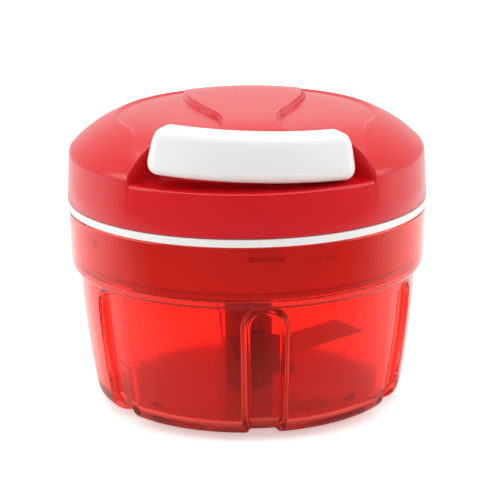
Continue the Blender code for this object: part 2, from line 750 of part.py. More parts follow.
def make_lid_cover(parent):
    top = CREASE_Z + DOME_RISE
    edge = COVER_TOP_RADIUS - CREASE_SOFTNESS
    outside = [(0, COVER_BOTTOM), (FLANGE_RADIUS, COVER_BOTTOM)]
    outside += soft_corner((COVER_TOP_RADIUS + 0.05, CREASE_Z - CREASE_SOFTNESS),
                           (COVER_TOP_RADIUS, CREASE_Z),
                           (edge, crown(edge, DOME_RISE, DOME_POWER)), 3)
    outside += crown_profile(DOME_RISE, DOME_POWER, edge)[1:]
    cover = place(turned(outside), "lid_cover", "red_plastic", parent)

    scoop_face = [(0, CREASE_Z - 4), (COVER_TOP_RADIUS - 2, CREASE_Z - 4)]
    scoop_face += crown_profile(SCOOP_RISE, SCOOP_POWER, COVER_TOP_RADIUS - 2)
    for side in (-1, 1):
        tool = place(prism(scoop_outline(side), CREASE_Z - 2, top + 4), "scoop")
        cut(tool, place(turned(scoop_face), "scoop_face"))
        cut(cover, tool)

    inner_radius = FLANGE_RADIUS - COVER_WALL
    inner_top = COVER_TOP_RADIUS - COVER_WALL
    hollow = [(0, COVER_BOTTOM - 2), (inner_radius, COVER_BOTTOM - 2),
              (inner_radius, COVER_BOTTOM), (inner_top, CREASE_Z - 2.2)]
    hollow += crown_profile(SCOOP_RISE, SCOOP_POWER, inner_top - 1.0, 8, COVER_WALL - 0.2, 1.6)
    inside = place(turned(hollow), "hollow")
    cut(inside, place(recess_tool(top + 4, RECESS_WALL), "recess_case"))
    cut(cover, inside)

    add(cover, place(rod(ARBOR_RADIUS, ARBOR_BOTTOM, top - COVER_WALL - 1, 24), "arbor"))
    for angle in SCREW_ANGLES:
        x, y = screw_spot(angle)
        boss = rod(SCREW_BOSS_RADIUS, COVER_BOTTOM, CREASE_Z + 7, 16)
        add(cover, place(boss, "screw_boss", location=(x, y, 0)))
    cut(cover, place(recess_tool(top + 6), "recess"))
    for angle in SCREW_ANGLES:
        x, y = screw_spot(angle)
        pilot = rod(SCREW_RADIUS + GAP, COVER_BOTTOM - 2, FLANGE_Z + SCREW_LENGTH + 1, 12)
        cut(cover, place(pilot, "pilot_hole", location=(x, y, 0)))
    spindle_hole = rod(SPINDLE_RADIUS + GAP, ARBOR_BOTTOM - 2, spindle_top() + GAP, 16)
    cut(cover, place(spindle_hole, "spindle_hole"))
    slot_low, slot_high = spring_span()
    slot = prism([(1.8, -SPRING_SLOT / 2), (ARBOR_RADIUS + 2, -SPRING_SLOT / 2),
                  (ARBOR_RADIUS + 2, SPRING_SLOT / 2), (1.8, SPRING_SLOT / 2)],
                 slot_low - GAP, slot_high + GAP)
    cut(cover, place(slot, "spring_slot"))
    eyelet_hole = across(EYELET_BORE + EYELET_WALL + GAP, RECESS_BACK - 6,
                         RECESS_BACK + 4, CORD_Z)
    cut(cover, place(eyelet_hole, "eyelet_hole"))
    return finish(cover, "lid_cover")


def spindle_top():
    return HUB_DISC_TOP - 6.2 + SPINDLE_LENGTH


def spring_span():
    """Lowest and highest height of the recoil spring."""
    low = WINDING_FLOOR + GAP
    return low, low + SPRING_HEIGHT


def make_spindle(parent):
    high = spindle_top()
    low = high - SPINDLE_LENGTH
    return finish(place(rod(SPINDLE_RADIUS, low, high, 16), "spindle_pin", "blade_steel", parent),
                  "spindle_pin")


def make_screw(name, angle, parent):
    x, y = screw_spot(angle)
    seat = FLANGE_Z - GAP
    head = seat - SCREW_HEAD_HEIGHT
    profile = [(0, head), (SCREW_HEAD_RADIUS - 0.6, head), (SCREW_HEAD_RADIUS, head + 0.6),
               (SCREW_HEAD_RADIUS, seat), (SCREW_RADIUS, seat),
               (SCREW_RADIUS, seat + SCREW_LENGTH - 1), (0.4, seat + SCREW_LENGTH),
               (0, seat + SCREW_LENGTH)]
    return finish(place(turned(profile, 12), name, "screw_steel", parent, (x, y, 0)), name)


def make_eyelet(parent):
    """Smooth bush in the recess wall that guides the cord."""
    face = RECESS_BACK + GAP
    outer = EYELET_BORE + EYELET_WALL
    back = RECESS_BACK - RECESS_WALL - 1.2
    shape = turned([
        (EYELET_BORE, back), (outer, back), (outer, face), (EYELET_FLANGE, face),
        (EYELET_FLANGE, face + 0.6), (EYELET_FLANGE - 0.5, face + 1.1),
        (EYELET_BORE + 0.5, face + 1.1), (EYELET_BORE, face + 0.6),
    ], SMALL_STEPS)
    bmesh.ops.rotate(shape, verts=shape.verts, matrix=Matrix.Rotation(math.radians(90), 3, "X"))
    bmesh.ops.translate(shape, verts=shape.verts, vec=(0, 0, CORD_Z))
    return finish(place(shape, "cord_eyelet", "white_plastic", parent), "cord_eyelet")


def ratchet_outline():
    """Saw-tooth outline; each steep face pushes clockwise seen from above."""
    pitch = 360 / RATCHET_TEETH
    outline = []
    for tooth in range(RATCHET_TEETH):
        base = tooth * pitch
        for share in (0.0, 0.5, 1.0):
            outline.append(polar(RATCHET_TIP_RADIUS + RATCHET_TOOTH_DEPTH * share,
                                 base + pitch * share - 0.001 * share))
    return outline


def make_reel(parent):
    bore = ARBOR_RADIUS + GAP
    ratchet_outer = RATCHET_TIP_RADIUS + RATCHET_TOOTH_DEPTH + RATCHET_WALL
    cap_bore = CUP_RADIUS + CAP_LEDGE
    reel = place(turned([
        (bore, REEL_BOTTOM), (ratchet_outer, REEL_BOTTOM), (ratchet_outer, REEL_WEB_Z),
        (REEL_FLANGE_RADIUS, REEL_WEB_Z), (REEL_FLANGE_RADIUS, WINDING_FLOOR),
        (DRUM_RADIUS, WINDING_FLOOR), (DRUM_RADIUS, UPPER_FLANGE_Z),
        (REEL_FLANGE_RADIUS, UPPER_FLANGE_Z), (REEL_FLANGE_RADIUS, REEL_TOP),
        (cap_bore, REEL_TOP), (cap_bore, CAP_SEAT_Z), (CUP_RADIUS, CAP_SEAT_Z),
        (CUP_RADIUS, WINDING_FLOOR), (bore, WINDING_FLOOR),
    ], 36), "reel", "grey_acetal", parent)
    ratchet = place(prism(ratchet_outline(), REEL_BOTTOM - 1, REEL_WEB_Z), "ratchet")
    hub = rod(REEL_HUB_RADIUS, REEL_WEB_Z - REEL_HUB_DROP, REEL_WEB_Z + 1)
    cut(ratchet, place(hub, "reel_hub"))
    cut(reel, ratchet)
    low, high = spring_span()
    hook = prism([(CUP_RADIUS - 1, -SPRING_SLOT / 2), (CUP_RADIUS + 1.2, -SPRING_SLOT / 2),
                  (CUP_RADIUS + 1.2, SPRING_SLOT / 2), (CUP_RADIUS - 1, SPRING_SLOT / 2)],
                 low - 0.1, high + GAP)
    cut(reel, place(hook, "hook_slot"))
    return finish(reel, "reel")


def make_spring_cap(parent):
    low = CAP_SEAT_Z + GAP
    profile = [(ARBOR_RADIUS + GAP, low), (CUP_RADIUS + CAP_LEDGE - GAP, low),
               (CUP_RADIUS + CAP_LEDGE - GAP, low + CAP_HEIGHT),
               (ARBOR_RADIUS + GAP, low + CAP_HEIGHT)]
    return finish(place(turned(profile, 36), "spring_cap", "grey_acetal", parent), "spring_cap")


def spring_path():
    """Middle line of the flat spiral, from the arbor slot to the cup's hook."""
    inner = ARBOR_RADIUS + GAP + SPRING_THICKNESS
    outer = CUP_RADIUS - GAP - SPRING_THICKNESS
    points = [(2.3, 0.0), (ARBOR_RADIUS - 0.4, 0.0), (inner - 0.25, 0.15), (inner + 0.1, 0.8)]
    steps = SPRING_TURNS * 16
    first = math.degrees(0.3)
    for step in range(steps + 1):
        t = step / steps
        angle = math.radians(first + (360 * SPRING_TURNS - 2 * first) * t)
        radius = inner + 0.1 + (outer - inner - 0.1) * t
        points.append((radius * math.cos(angle), radius * math.sin(angle)))
    points += [(outer + 0.1, -1.6), (CUP_RADIUS - 0.2, -0.3), (CUP_RADIUS + 0.8, 0.0)]
    return points


def make_recoil_spring(parent):
    path = [Vector(point) for point in spring_path()]
    low, high = spring_span()
    rings = []
    for i, point in enumerate(path):
        ahead = path[min(i + 1, len(path) - 1)] - path[max(i - 1, 0)]
        side = Vector((-ahead.y, ahead.x)).normalized() * SPRING_THICKNESS / 2
        left, right = point + side, point - side
        rings.append([(left.x, left.y, low), (right.x, right.y, low),
                      (right.x, right.y, high), (left.x, left.y, high)])
    return finish(place(loft(rings), "recoil_spring", "spring_steel", parent), "recoil_spring")


def pawl_turn(index):
    """Plan angle of a pawl's tip, just ahead of a steep ratchet face."""
    pitch = 360 / RATCHET_TEETH
    return pitch * round(index * RATCHET_TEETH / PAWL_COUNT)


def pawl_pivot(index):
    return polar(PAWL_PIVOT_RADIUS, pawl_turn(index) - PAWL_LEAD)


def make_drive_hub(parent):
    shaft_end = COLUMN_TOP + DOG_HEIGHT + GAP
    bore = SPINDLE_RADIUS + GAP
    bore_bottom = spindle_top() - SPINDLE_LENGTH - GAP
    hub = place(turned([
        (0, shaft_end), (SHAFT_RADIUS, shaft_end), (SHAFT_RADIUS, HUB_DISC_BOTTOM),
        (HUB_DISC_RADIUS, HUB_DISC_BOTTOM), (HUB_DISC_RADIUS, HUB_DISC_TOP),
        (bore, HUB_DISC_TOP), (bore, bore_bottom), (0, bore_bottom),
    ], 36), "drive_hub", "grey_acetal", parent)
    for index in range(PAWL_COUNT):
        x, y = pawl_pivot(index)
        post = rod(PAWL_POST, HUB_DISC_TOP - 1, HUB_DISC_TOP + PAWL_HEIGHT, 12)
        add(hub, place(post, "pawl_post", location=(x, y, 0)))
    add(hub, *dogs(180 / DOG_COUNT, COLUMN_TOP + GAP, shaft_end + 0.5))
    return finish(hub, "drive_hub")


def make_pawl(name, index, parent):
    """Lever whose tip stands in a ratchet space, a little short of the face.

    That play lets the tip swing inwards past the tooth when the reel runs back.
    """
    pivot = Vector(pawl_pivot(index))
    tip_turn = pawl_turn(index) - PAWL_PLAY
    depth = RATCHET_TOOTH_DEPTH * (1 - PAWL_PLAY * RATCHET_TEETH / 360)
    reach = RATCHET_TIP_RADIUS + depth - GAP - 0.1
    outer = Vector(polar(reach, tip_turn)) - pivot
    inner = Vector(polar(reach - PAWL_TIP_WIDTH, tip_turn)) - pivot
    heading = math.atan2(outer.y, outer.x)
    outline = []
    for step in range(9):
        angle = heading + math.pi / 2 + math.pi * step / 8
        outline.append((PAWL_EYE * math.cos(angle), PAWL_EYE * math.sin(angle)))
    outline += [tuple(outer), tuple(inner)]
    low = HUB_DISC_TOP + GAP
    high = low + PAWL_HEIGHT - 2 * GAP
    pawl = place(prism(outline, low, high), name, "grey_acetal", parent, (pivot.x, pivot.y, 0))
    eye = rod(PAWL_POST + GAP, low - 1, high + 1, 12)
    cut(pawl, place(eye, "pawl_eye", location=(pivot.x, pivot.y, 0)))
    return finish(pawl, name)


def cord(name, points, parent, resolution=1):
    """Round cord along a list of points, with filled ends."""
    curve = bpy.data.curves.new(name, "CURVE")
    curve.dimensions = "3D"
    curve.bevel_depth = CORD_DIAMETER / 2 * MM
    curve.bevel_resolution = resolution
    curve.use_fill_caps = True
    spline = curve.splines.new("POLY")
    spline.points.add(len(points) - 1)
    for knot, point in zip(spline.points, points):
        knot.co = (*(Vector(point) * MM), 1.0)
    thing = bpy.data.objects.new(name, curve)
    bpy.context.collection.objects.link(thing)
    thing.parent = parent
    curve.materials.append(material("cord_nylon"))
    return thing


def make_cord_winding(parent):
    """Turns of cord on the drum, as one helix."""
    start = WINDING_FLOOR + GAP + CORD_DIAMETER / 2
    count = round(CORD_TURNS * CORD_LOOP_POINTS)
    points = []
    for i in range(count + 1):
        turn = i / CORD_LOOP_POINTS
        x, y = polar(WINDING_RADIUS, 360 * turn)
        points.append((x, y, start + CORD_PITCH * turn))
    print("least gap in the winding, mm:", round(CORD_PITCH - CORD_DIAMETER, 2))
    return cord("cord_winding", points, parent)


def through(points, spacing):
    """Evenly read points of a smooth curve through the given ones."""
    ends = [points[0]] + points + [points[-1]]
    path = []
    for i in range(1, len(ends) - 2):
        before, start, end, after = (Vector(ends[i + k]) for k in (-1, 0, 1, 2))
        count = max(1, round((end - start).length / spacing))
        for step in range(count):
            t = step / count
            path.append(0.5 * (2 * start + (end - before) * t
                               + (2 * before - 5 * start + 4 * end - after) * t ** 2
                               + (3 * start - before - 3 * end + after) * t ** 3))
    path.append(Vector(points[-1]))
    return path


def make_cord_lead(parent):
    """Cord that comes off the drum and runs into the eyelet."""
    turn = math.degrees(math.acos(LEAD_RADIUS / -CORD_BEND_Y))
    arc = [polar(LEAD_RADIUS, turn + 20 * i) for i in range(4, -1, -1)]
    leave = Vector(arc[-1])
    bend = Vector((0, CORD_BEND_Y))
    run = [tuple(leave.lerp(bend, share)) for share in (0.3, 0.6, 0.88)]
    stop = -(RECESS_BACK - RECESS_WALL / 2 - GAP)
    flat = arc + run + [(0, CORD_BEND_Y - 1.6), (0, stop)]
    points = through([(x, y, CORD_Z) for x, y in flat], 2 * CORD_DIAMETER)
    return cord("cord_lead", points, parent, 2)


def make_cord_tail(parent):
    """Cord from the eyelet to the knot inside the handle."""
    start = -(RECESS_BACK - RECESS_WALL / 2)
    stop = HANDLE_CENTRE_Y - (knot_radius_place() - KNOT_RADIUS - GAP)
    count = 4
    points = [(0, start + (stop - start) * i / count, CORD_Z) for i in range(count + 1)]
    return cord("cord_tail", points, parent, 2)


def knot_radius_place():
    """How far the knot's middle lies from the centre of the handle's curve."""
    return HANDLE_BACK_RADIUS + GAP + HANDLE_COVER_THICKNESS + GAP + KNOT_RADIUS


def bar_section(inset, lean):
    """Rounded section of the handle as (radius, height) points."""
    half_depth = HANDLE_DEPTH / 2 - inset
    half_height = HANDLE_HEIGHT / 2 - inset
    corner = max(0.8, HANDLE_EDGE - inset)
    middle = HANDLE_FRONT_RADIUS - HANDLE_DEPTH / 2
    points = []
    for quarter, (u_sign, v_sign) in enumerate(((1, 1), (-1, 1), (-1, -1), (1, -1))):
        for step in range(4):
            angle = math.radians(90 * quarter + 30 * step)
            u = u_sign * (half_depth - corner) + corner * math.cos(angle)
            v = v_sign * (half_height - corner) + corner * math.sin(angle)
            share = (u / half_depth + 1) / 2
            slope = lean * (v / HANDLE_HEIGHT + 0.5)
            points.append((middle + u - slope * share, HANDLE_MIDDLE_Z + v))
    return points


def handle_bar(wall, end_angle):
    """Sweep the handle's section along its curve, with rounded ends."""
    arc_radius = HANDLE_FRONT_RADIUS - HANDLE_DEPTH / 2
    stations = [(0.0, 1.0), (0.08, 0.61), (0.28, 0.31), (0.6, 0.08), (1.0, 0.0)]
    reach = math.degrees(HANDLE_END_RADIUS / arc_radius)
    left = [(-end_angle + reach * share, HANDLE_END_RADIUS * inset) for share, inset in stations]
    span = end_angle - reach
    middle = [(span * i / 6, 0.0) for i in range(-5, 6)]
    right = [(-angle, inset) for angle, inset in reversed(left)]
    plain = cover_half_angle()
    rings = []
    for angle, inset in left + middle + right:
        outer = max(0.0, abs(angle) - plain) / (end_angle - plain)
        ring = []
        for radius, height in bar_section(wall + inset, HANDLE_LEAN):
            lean = outer * HANDLE_END_SLANT * (height - HANDLE_BOTTOM) / HANDLE_HEIGHT
            ring.append((*polar(radius, angle - math.copysign(lean, angle)), height))
        rings.append(ring)
    return loft(rings)


def cover_half_angle():
    """Half the turn the handle's cover takes up, short of the rounded ends."""
    return HANDLE_ANGLE - math.degrees((HANDLE_END_RADIUS + 1) / HANDLE_BACK_RADIUS)


def handle_slab(back, front, half_angle, edge):
    """Piece of a ring as tall as the handle less an edge at top and bottom."""
    return sector(back, front, -half_angle, half_angle,
                  HANDLE_BOTTOM + edge, HANDLE_BOTTOM + HANDLE_HEIGHT - edge)


def seat_handle(*pieces):
    """Move the handle in front of the lid, a little crooked on its cord."""
    swing = Matrix.Rotation(math.radians(HANDLE_TILT), 4, "Y")
    pivot = Matrix.Translation(Vector((0, 0, CORD_Z)) * MM)
    shift = Matrix.Translation(Vector((0, HANDLE_CENTRE_Y, 0)) * MM)
    for piece in pieces:
        piece.data.transform(shift @ pivot @ swing @ pivot.inverted())


def make_handle(parent):
    seat = HANDLE_BACK_RADIUS + GAP + HANDLE_COVER_THICKNESS + GAP
    rim = HANDLE_EDGE
    cover_angle = cover_half_angle()
    ledge_angle = math.degrees(HANDLE_COVER_LEDGE / HANDLE_BACK_RADIUS)
    shell = place(handle_bar(0, HANDLE_ANGLE), "handle_shell", "white_plastic", parent)
    opening = handle_slab(HANDLE_BACK_RADIUS - 2, seat, cover_angle, rim)
    pocket = handle_slab(seat - 1, HANDLE_FRONT_RADIUS - HANDLE_LEAN - HANDLE_WALL,
                         cover_angle - ledge_angle, rim + HANDLE_COVER_LEDGE)
    knot_seat = across(KNOT_RADIUS + GAP, seat - 1, knot_radius_place() + KNOT_RADIUS + GAP,
                       CORD_Z, 16)
    cut(shell, place(opening, "cover_opening"), place(pocket, "pocket"),
        place(knot_seat, "knot_seat"))

    gap_angle = math.degrees(GAP / HANDLE_BACK_RADIUS)
    plate = handle_slab(HANDLE_BACK_RADIUS + GAP, seat - GAP, cover_angle - gap_angle, rim + GAP)
    cover = place(plate, "handle_cover", "white_plastic", parent)
    hole = across(CORD_DIAMETER / 2 + 0.5, HANDLE_BACK_RADIUS - 2, seat + 2, CORD_Z)
    cut(cover, place(hole, "cord_hole"))

    knot_shape = bmesh.new()
    bmesh.ops.create_uvsphere(knot_shape, u_segments=14, v_segments=8, radius=KNOT_RADIUS)
    bmesh.ops.translate(knot_shape, verts=knot_shape.verts, vec=(0, -knot_radius_place(), CORD_Z))
    knot = place(knot_shape, "cord_knot", "cord_nylon", parent)
    seat_handle(shell, cover, knot)
    finish(shell, "handle_shell", 40.0)
    finish(cover, "handle_cover")
    finish(knot, "cord_knot")


def build():
    clear_scene()
    bowl_group = empty("bowl_group")
    blade_group = empty("blade_group", bowl_group)
    seal_group = empty("seal_group", bowl_group)
    lid_group = empty("lid_group", seal_group)
    reel_group = empty("reel_group", lid_group)
    hub_group = empty("hub_group", lid_group)
    handle_group = empty("handle_group", lid_group)

    make_bowl(bowl_group)
    make_centre_pin(bowl_group)
    make_blade_column(blade_group)
    for name in BLADE_LEVELS:
        make_blade(name, blade_group)
    make_seal_ring(seal_group)
    make_mechanism_base(lid_group)
    make_lid_cover(lid_group)
    make_eyelet(lid_group)
    make_spindle(lid_group)
    for number, angle in enumerate(SCREW_ANGLES, start=1):
        make_screw(f"screw_{number}", angle, lid_group)
    make_cord_lead(lid_group)
    make_reel(reel_group)
    make_spring_cap(reel_group)
    make_recoil_spring(reel_group)
    make_cord_winding(reel_group)
    make_drive_hub(hub_group)
    for index in range(PAWL_COUNT):
        make_pawl(f"pawl_{index + 1}", index, hub_group)
    make_handle(handle_group)
    make_cord_tail(handle_group)


build()
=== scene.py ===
# %% [markdown]
# # A pull-cord food chopper
#
# The object is a small kitchen chopper: a clear red bowl, a domed red lid on a white ring, and a
# white pull handle at the front of the lid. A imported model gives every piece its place. This
# lesson dresses that model: smooth skins for the moulded pieces, and a material for each finish.

# %% Load the model
import json
import math

import bmesh
import bpy
from mathutils import Matrix, Vector


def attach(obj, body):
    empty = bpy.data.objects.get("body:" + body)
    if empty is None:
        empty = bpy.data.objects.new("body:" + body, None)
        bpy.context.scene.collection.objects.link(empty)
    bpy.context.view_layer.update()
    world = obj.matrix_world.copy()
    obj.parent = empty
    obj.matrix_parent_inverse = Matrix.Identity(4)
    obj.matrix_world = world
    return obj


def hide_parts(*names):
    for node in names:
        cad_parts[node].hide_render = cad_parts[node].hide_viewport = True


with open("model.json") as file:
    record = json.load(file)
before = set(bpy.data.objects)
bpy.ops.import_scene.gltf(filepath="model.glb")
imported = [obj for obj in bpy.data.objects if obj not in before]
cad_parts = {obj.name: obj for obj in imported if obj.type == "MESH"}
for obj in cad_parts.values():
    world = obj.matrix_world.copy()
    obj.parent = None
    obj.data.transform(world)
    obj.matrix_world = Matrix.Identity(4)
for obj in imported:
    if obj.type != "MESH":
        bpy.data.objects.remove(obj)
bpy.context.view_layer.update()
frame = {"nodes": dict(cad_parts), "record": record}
MM = 0.001

# %% [markdown]
# ## Camera
#
# The photograph was taken from a little above the lid with a long lens, so the rim ellipses are
# flat and the sides hardly converge. A long focal length with the camera 0.8 m away gives the
# same look. The handle stands two degrees to the right of the view, so the camera swings left.
# Light may bounce more often than usual, because the clear bowl has many walls in a row.


# %% Camera
def look(distance, height, swing, pitch, roll):
    """Matrix of a camera that looks at the vertical axis from the front."""
    turn = math.radians(swing)
    place = Vector((-distance * math.sin(turn), -distance * math.cos(turn), height))
    aim = Matrix.Rotation(-turn, 4, "Z") @ Matrix.Rotation(math.radians(90 - pitch), 4, "X")
    return Matrix.Translation(place) @ aim @ Matrix.Rotation(math.radians(roll), 4, "Z")


camera_data = bpy.data.cameras.new("camera")
camera_data.lens = 163.66
camera_data.sensor_width = 36.0
camera_data.shift_x = 0.00476
camera_data.clip_start = 0.05
camera_data.clip_end = 20.0
camera = bpy.data.objects.new("camera", camera_data)
camera.matrix_world = look(distance=0.800, height=0.277, swing=2.0, pitch=15.61, roll=-0.61)
bpy.context.collection.objects.link(camera)
bpy.context.scene.camera = camera
bpy.context.scene.view_settings.view_transform = "Standard"
bpy.context.scene.cycles.glossy_bounces = 12
bpy.context.scene.cycles.max_bounces = 24
print("camera at", [round(value, 3) for value in camera.matrix_world.translation])

# %% [markdown]
# ## Shader maths as Python
#
# A material is a graph of nodes, and writing each Math node by hand hides what it computes. This
# small class wraps one socket, so that `1 - noise * 0.5` adds the nodes it needs. Colours are
# mixed with a Mix node, because a Math node would turn them grey.


# %% Sockets with operators
class Value:
    """One output socket of a material's graph, with arithmetic."""

    def __init__(self, graph, socket):
        self.graph = graph
        self.socket = socket

    def maths(self, operation, *others):
        inputs = dict(enumerate((self, *others)))
        return self.graph.node("ShaderNodeMath", {"operation": operation}, inputs)[0]

    def __add__(self, other):
        return self.maths("ADD", other)

    __radd__ = __add__

    def __mul__(self, other):
        return self.maths("MULTIPLY", other)

    def __rsub__(self, other):
        return self.maths("MULTIPLY_ADD", -1.0, other)


class Graph:
    """A material's node tree, with one method that adds any node."""

    def __init__(self, name):
        self.material = bpy.data.materials.new(name)
        self.material.use_nodes = True
        self.tree = self.material.node_tree
        self.shader = self.tree.nodes["Principled BSDF"]

    def feed(self, socket, value):
        if isinstance(value, Value):
            self.tree.links.new(value.socket, socket)
        else:
            socket.default_value = value

    def node(self, kind, settings=None, sockets=None):
        made = self.tree.nodes.new(kind)
        for key, value in (settings or {}).items():
            setattr(made, key, value)
        for key, value in (sockets or {}).items():
            self.feed(made.inputs[key], value)
        return [Value(self, output) for output in made.outputs]

    def mix(self, share, first, second):
        """Blend two colours by a share."""
        return self.node("ShaderNodeMix", {"data_type": "RGBA"},
                         {0: share, 6: first, 7: second})[2]

    def ramp(self, value, start, end):
        """Ease from 0 to 1 while a value goes from start to end."""
        return self.node("ShaderNodeMapRange", {"interpolation_type": "SMOOTHSTEP"},
                         {0: value, 1: start, 2: end, 3: 0.0, 4: 1.0})[0]

    def noise(self, scale, detail=2.0, stretch=(1.0, 1.0, 1.0)):
        """Noise over the object's own coordinates, in cycles a metre."""
        place = self.node("ShaderNodeTexCoord")[3]
        place = self.node("ShaderNodeVectorMath", {"operation": "MULTIPLY"},
                          {0: place, 1: stretch})[0]
        return self.node("ShaderNodeTexNoise", None,
                         {"Vector": place, "Scale": scale, "Detail": detail})[0]

    def bump(self, height, depth, strength):
        """Normal that follows a height from 0 to 1, so many metres deep."""
        return self.node("ShaderNodeBump", None,
                         {"Height": height, "Distance": depth, "Strength": strength})[0]

    def shade(self, **sockets):
        """Set the shader's sockets; underscores stand for spaces."""
        for key, value in sockets.items():
            self.feed(self.shader.inputs[key.replace("_", " ")], value)
        return self.material


def rgb(red, green, blue):
    """Linear colour from the 0 to 255 values of a screen."""
    linear = []
    for level in (red, green, blue):
        share = level / 255
        linear.append(share / 12.92 if share <= 0.04045 else ((share + 0.055) / 1.055) ** 2.4)
    return (*linear, 1.0)


print("a mid grey of 128 is", round(rgb(128, 128, 128)[0], 3), "in linear light")

# %% [markdown]
# ## Backdrop and light
#
# The product stands on white with hardly a shadow. White walls stand behind it and at its
# sides, a wide panel hangs above, and the side of the room with the camera is darker. So the
# world is bright towards the back and dim towards the front, more so in a mirror than in soft
# light: glossy sides then shine at their edges and stay deep in the middle. What the camera
# sees of the world, also through the clear plastic, is pure white.


# %% Backdrop and light
def light_the_world(soft_front, soft_back, mirror_front, mirror_back):
    """White world: plain for the camera, and elsewhere bright at the back and dim in front."""
    world = bpy.data.worlds.new("studio")
    world.use_nodes = True
    bpy.context.scene.world = world
    tree = world.node_tree
    background = tree.nodes["Background"]
    path = tree.nodes.new("ShaderNodeLightPath")
    place = tree.nodes.new("ShaderNodeTexCoord")
    axes = tree.nodes.new("ShaderNodeSeparateXYZ")
    tree.links.new(place.outputs["Generated"], axes.inputs[0])

    def front_to_back(front, back):
        """Strength that eases from one value to the other along the depth of the room."""
        ramp = tree.nodes.new("ShaderNodeMapRange")
        ramp.interpolation_type = "SMOOTHSTEP"
        ramp.inputs["From Min"].default_value = -0.75
        ramp.inputs["From Max"].default_value = 0.15
        ramp.inputs["To Min"].default_value = front
        ramp.inputs["To Max"].default_value = back
        tree.links.new(axes.outputs["Y"], ramp.inputs["Value"])
        return ramp.outputs["Result"]

    def choose(share, first, second):
        """First value where the share is 0 and the second where it is 1."""
        mixed = tree.nodes.new("ShaderNodeMix")
        tree.links.new(share, mixed.inputs["Factor"])
        for socket, value in ((mixed.inputs["A"], first), (mixed.inputs["B"], second)):
            if isinstance(value, float):
                socket.default_value = value
            else:
                tree.links.new(value, socket)
        return mixed.outputs["Result"]

    strength = choose(path.outputs["Is Glossy Ray"], front_to_back(soft_front, soft_back),
                      front_to_back(mirror_front, mirror_back))
    strength = choose(path.outputs["Is Transmission Ray"], strength, 1.0)
    strength = choose(path.outputs["Is Camera Ray"], strength, 1.0)
    background.inputs["Color"].default_value = (1.0, 1.0, 1.0, 1.0)
    tree.links.new(strength, background.inputs["Strength"])


def panel(name, place, size, power):
    """Rectangular lamp that faces the object."""
    data = bpy.data.lights.new(name, "AREA")
    data.shape = "RECTANGLE"
    data.size, data.size_y = size
    data.energy = power
    light = bpy.data.objects.new(name, data)
    direction = Vector((0.0, 0.0, 0.05)) - Vector(place)
    light.location = place
    light.rotation_euler = direction.to_track_quat("-Z", "Y").to_euler()
    bpy.context.collection.objects.link(light)


def make_floor():
    """White card; in a mirror its front is dark, so that upright red walls keep their colour.

    Through the clear bowl the card looks lit, but shaded right below the bowl.
    """
    graph = Graph("white_card")
    path = graph.node("ShaderNodeLightPath")
    for_camera, in_mirror, through_clear = path[0], path[3], path[6]
    point = graph.node("ShaderNodeTexCoord")[3]
    place = graph.node("ShaderNodeSeparateXYZ", None, {0: point})
    ahead = graph.ramp(place[1], 0.05, -0.15)
    colour = graph.mix(in_mirror * ahead, (0.92, 0.92, 0.92, 1.0), (0.03, 0.03, 0.03, 1.0))
    graph.shade(Base_Color=colour, Roughness=0.9, Emission_Color=(1.0, 1.0, 1.0, 1.0))
    away = graph.node("ShaderNodeVectorMath", {"operation": "LENGTH"}, {0: point})[1]
    foot, clear_of_bowl = 0.044, 0.062
    below, lit = 0.19, 0.95
    seen = through_clear * (below + graph.ramp(away, foot, clear_of_bowl) * (lit - below))
    graph.feed(graph.shader.inputs["Emission Strength"], for_camera * 0.45 + seen)
    mesh = bpy.data.meshes.new("floor")
    shape = bmesh.new()
    bmesh.ops.create_grid(shape, x_segments=2, y_segments=2, size=4.0)
    shape.to_mesh(mesh)
    shape.free()
    floor = bpy.data.objects.new("floor", mesh)
    floor.location = (0, 0, -0.0004)
    bpy.context.collection.objects.link(floor)
    mesh.materials.append(graph.material)


light_the_world(soft_front=0.54, soft_back=0.92, mirror_front=0.02, mirror_back=0.85)
panel("top_panel", (0.0, 0.15, 1.3), (1.6, 1.2), 11.0)
panel("left_panel", (-1.4, -0.2, 0.7), (0.9, 0.9), 6.0)
panel("right_panel", (1.4, -0.2, 0.6), (0.9, 0.9), 5.0)
make_floor()
print("world, three panels and a floor")

# %% [markdown]
# ## Smooth skins from rows of points
#
# The moulded pieces are nearly round. Each is made here as a sheet of points: one row for each
# step along the profile, and one column for each direction round the axis. Where a detail such
# as a flute needs it, the columns stand closer together. This keeps the shading smooth, which
# a Boolean on a round solid would not.
#
# From here on sizes are in millimetres and angles in degrees. A name that ends in `_R` is a
# distance from the axis, and a name of a level, such as `LEDGE`, a height above the table.


# %% Skins and helpers
def polar(radius, angle):
    """Point in plan; angle 0 is the front and grows towards +X."""
    turn = math.radians(angle)
    return radius * math.sin(turn), -radius * math.cos(turn)


def soft(value):
    """Ease from 0 to 1 with level ends."""
    value = min(1.0, max(0.0, value))
    return value * value * (3 - 2 * value)


def blend(first, second, share):
    return tuple(a + (b - a) * share for a, b in zip(first, second))


def arc(start, corner, end, steps):
    """Points that round a corner, ends included."""
    points = []
    for step in range(steps + 1):
        t = step / steps
        points.append(tuple((1 - t) ** 2 * a + 2 * t * (1 - t) * b + t * t * c
                            for a, b, c in zip(start, corner, end)))
    return points


def run(start, end, steps):
    """Points along a straight line, without the first."""
    return [blend(start, end, step / steps) for step in range(1, steps + 1)]


def skin(rows, closed_rows=False):
    """Sheet through rows of 3-D points that each close on themselves."""
    shape = bmesh.new()
    grid = [[shape.verts.new(point) for point in row] for row in rows]
    pairs = list(zip(grid, grid[1:]))
    if closed_rows:
        pairs.append((grid[-1], grid[0]))
    for lower, upper in pairs:
        count = len(lower)
        for i in range(count):
            j = (i + 1) % count
            shape.faces.new((lower[i], lower[j], upper[j], upper[i]))
    bmesh.ops.remove_doubles(shape, verts=shape.verts, dist=0.0005)
    return shape


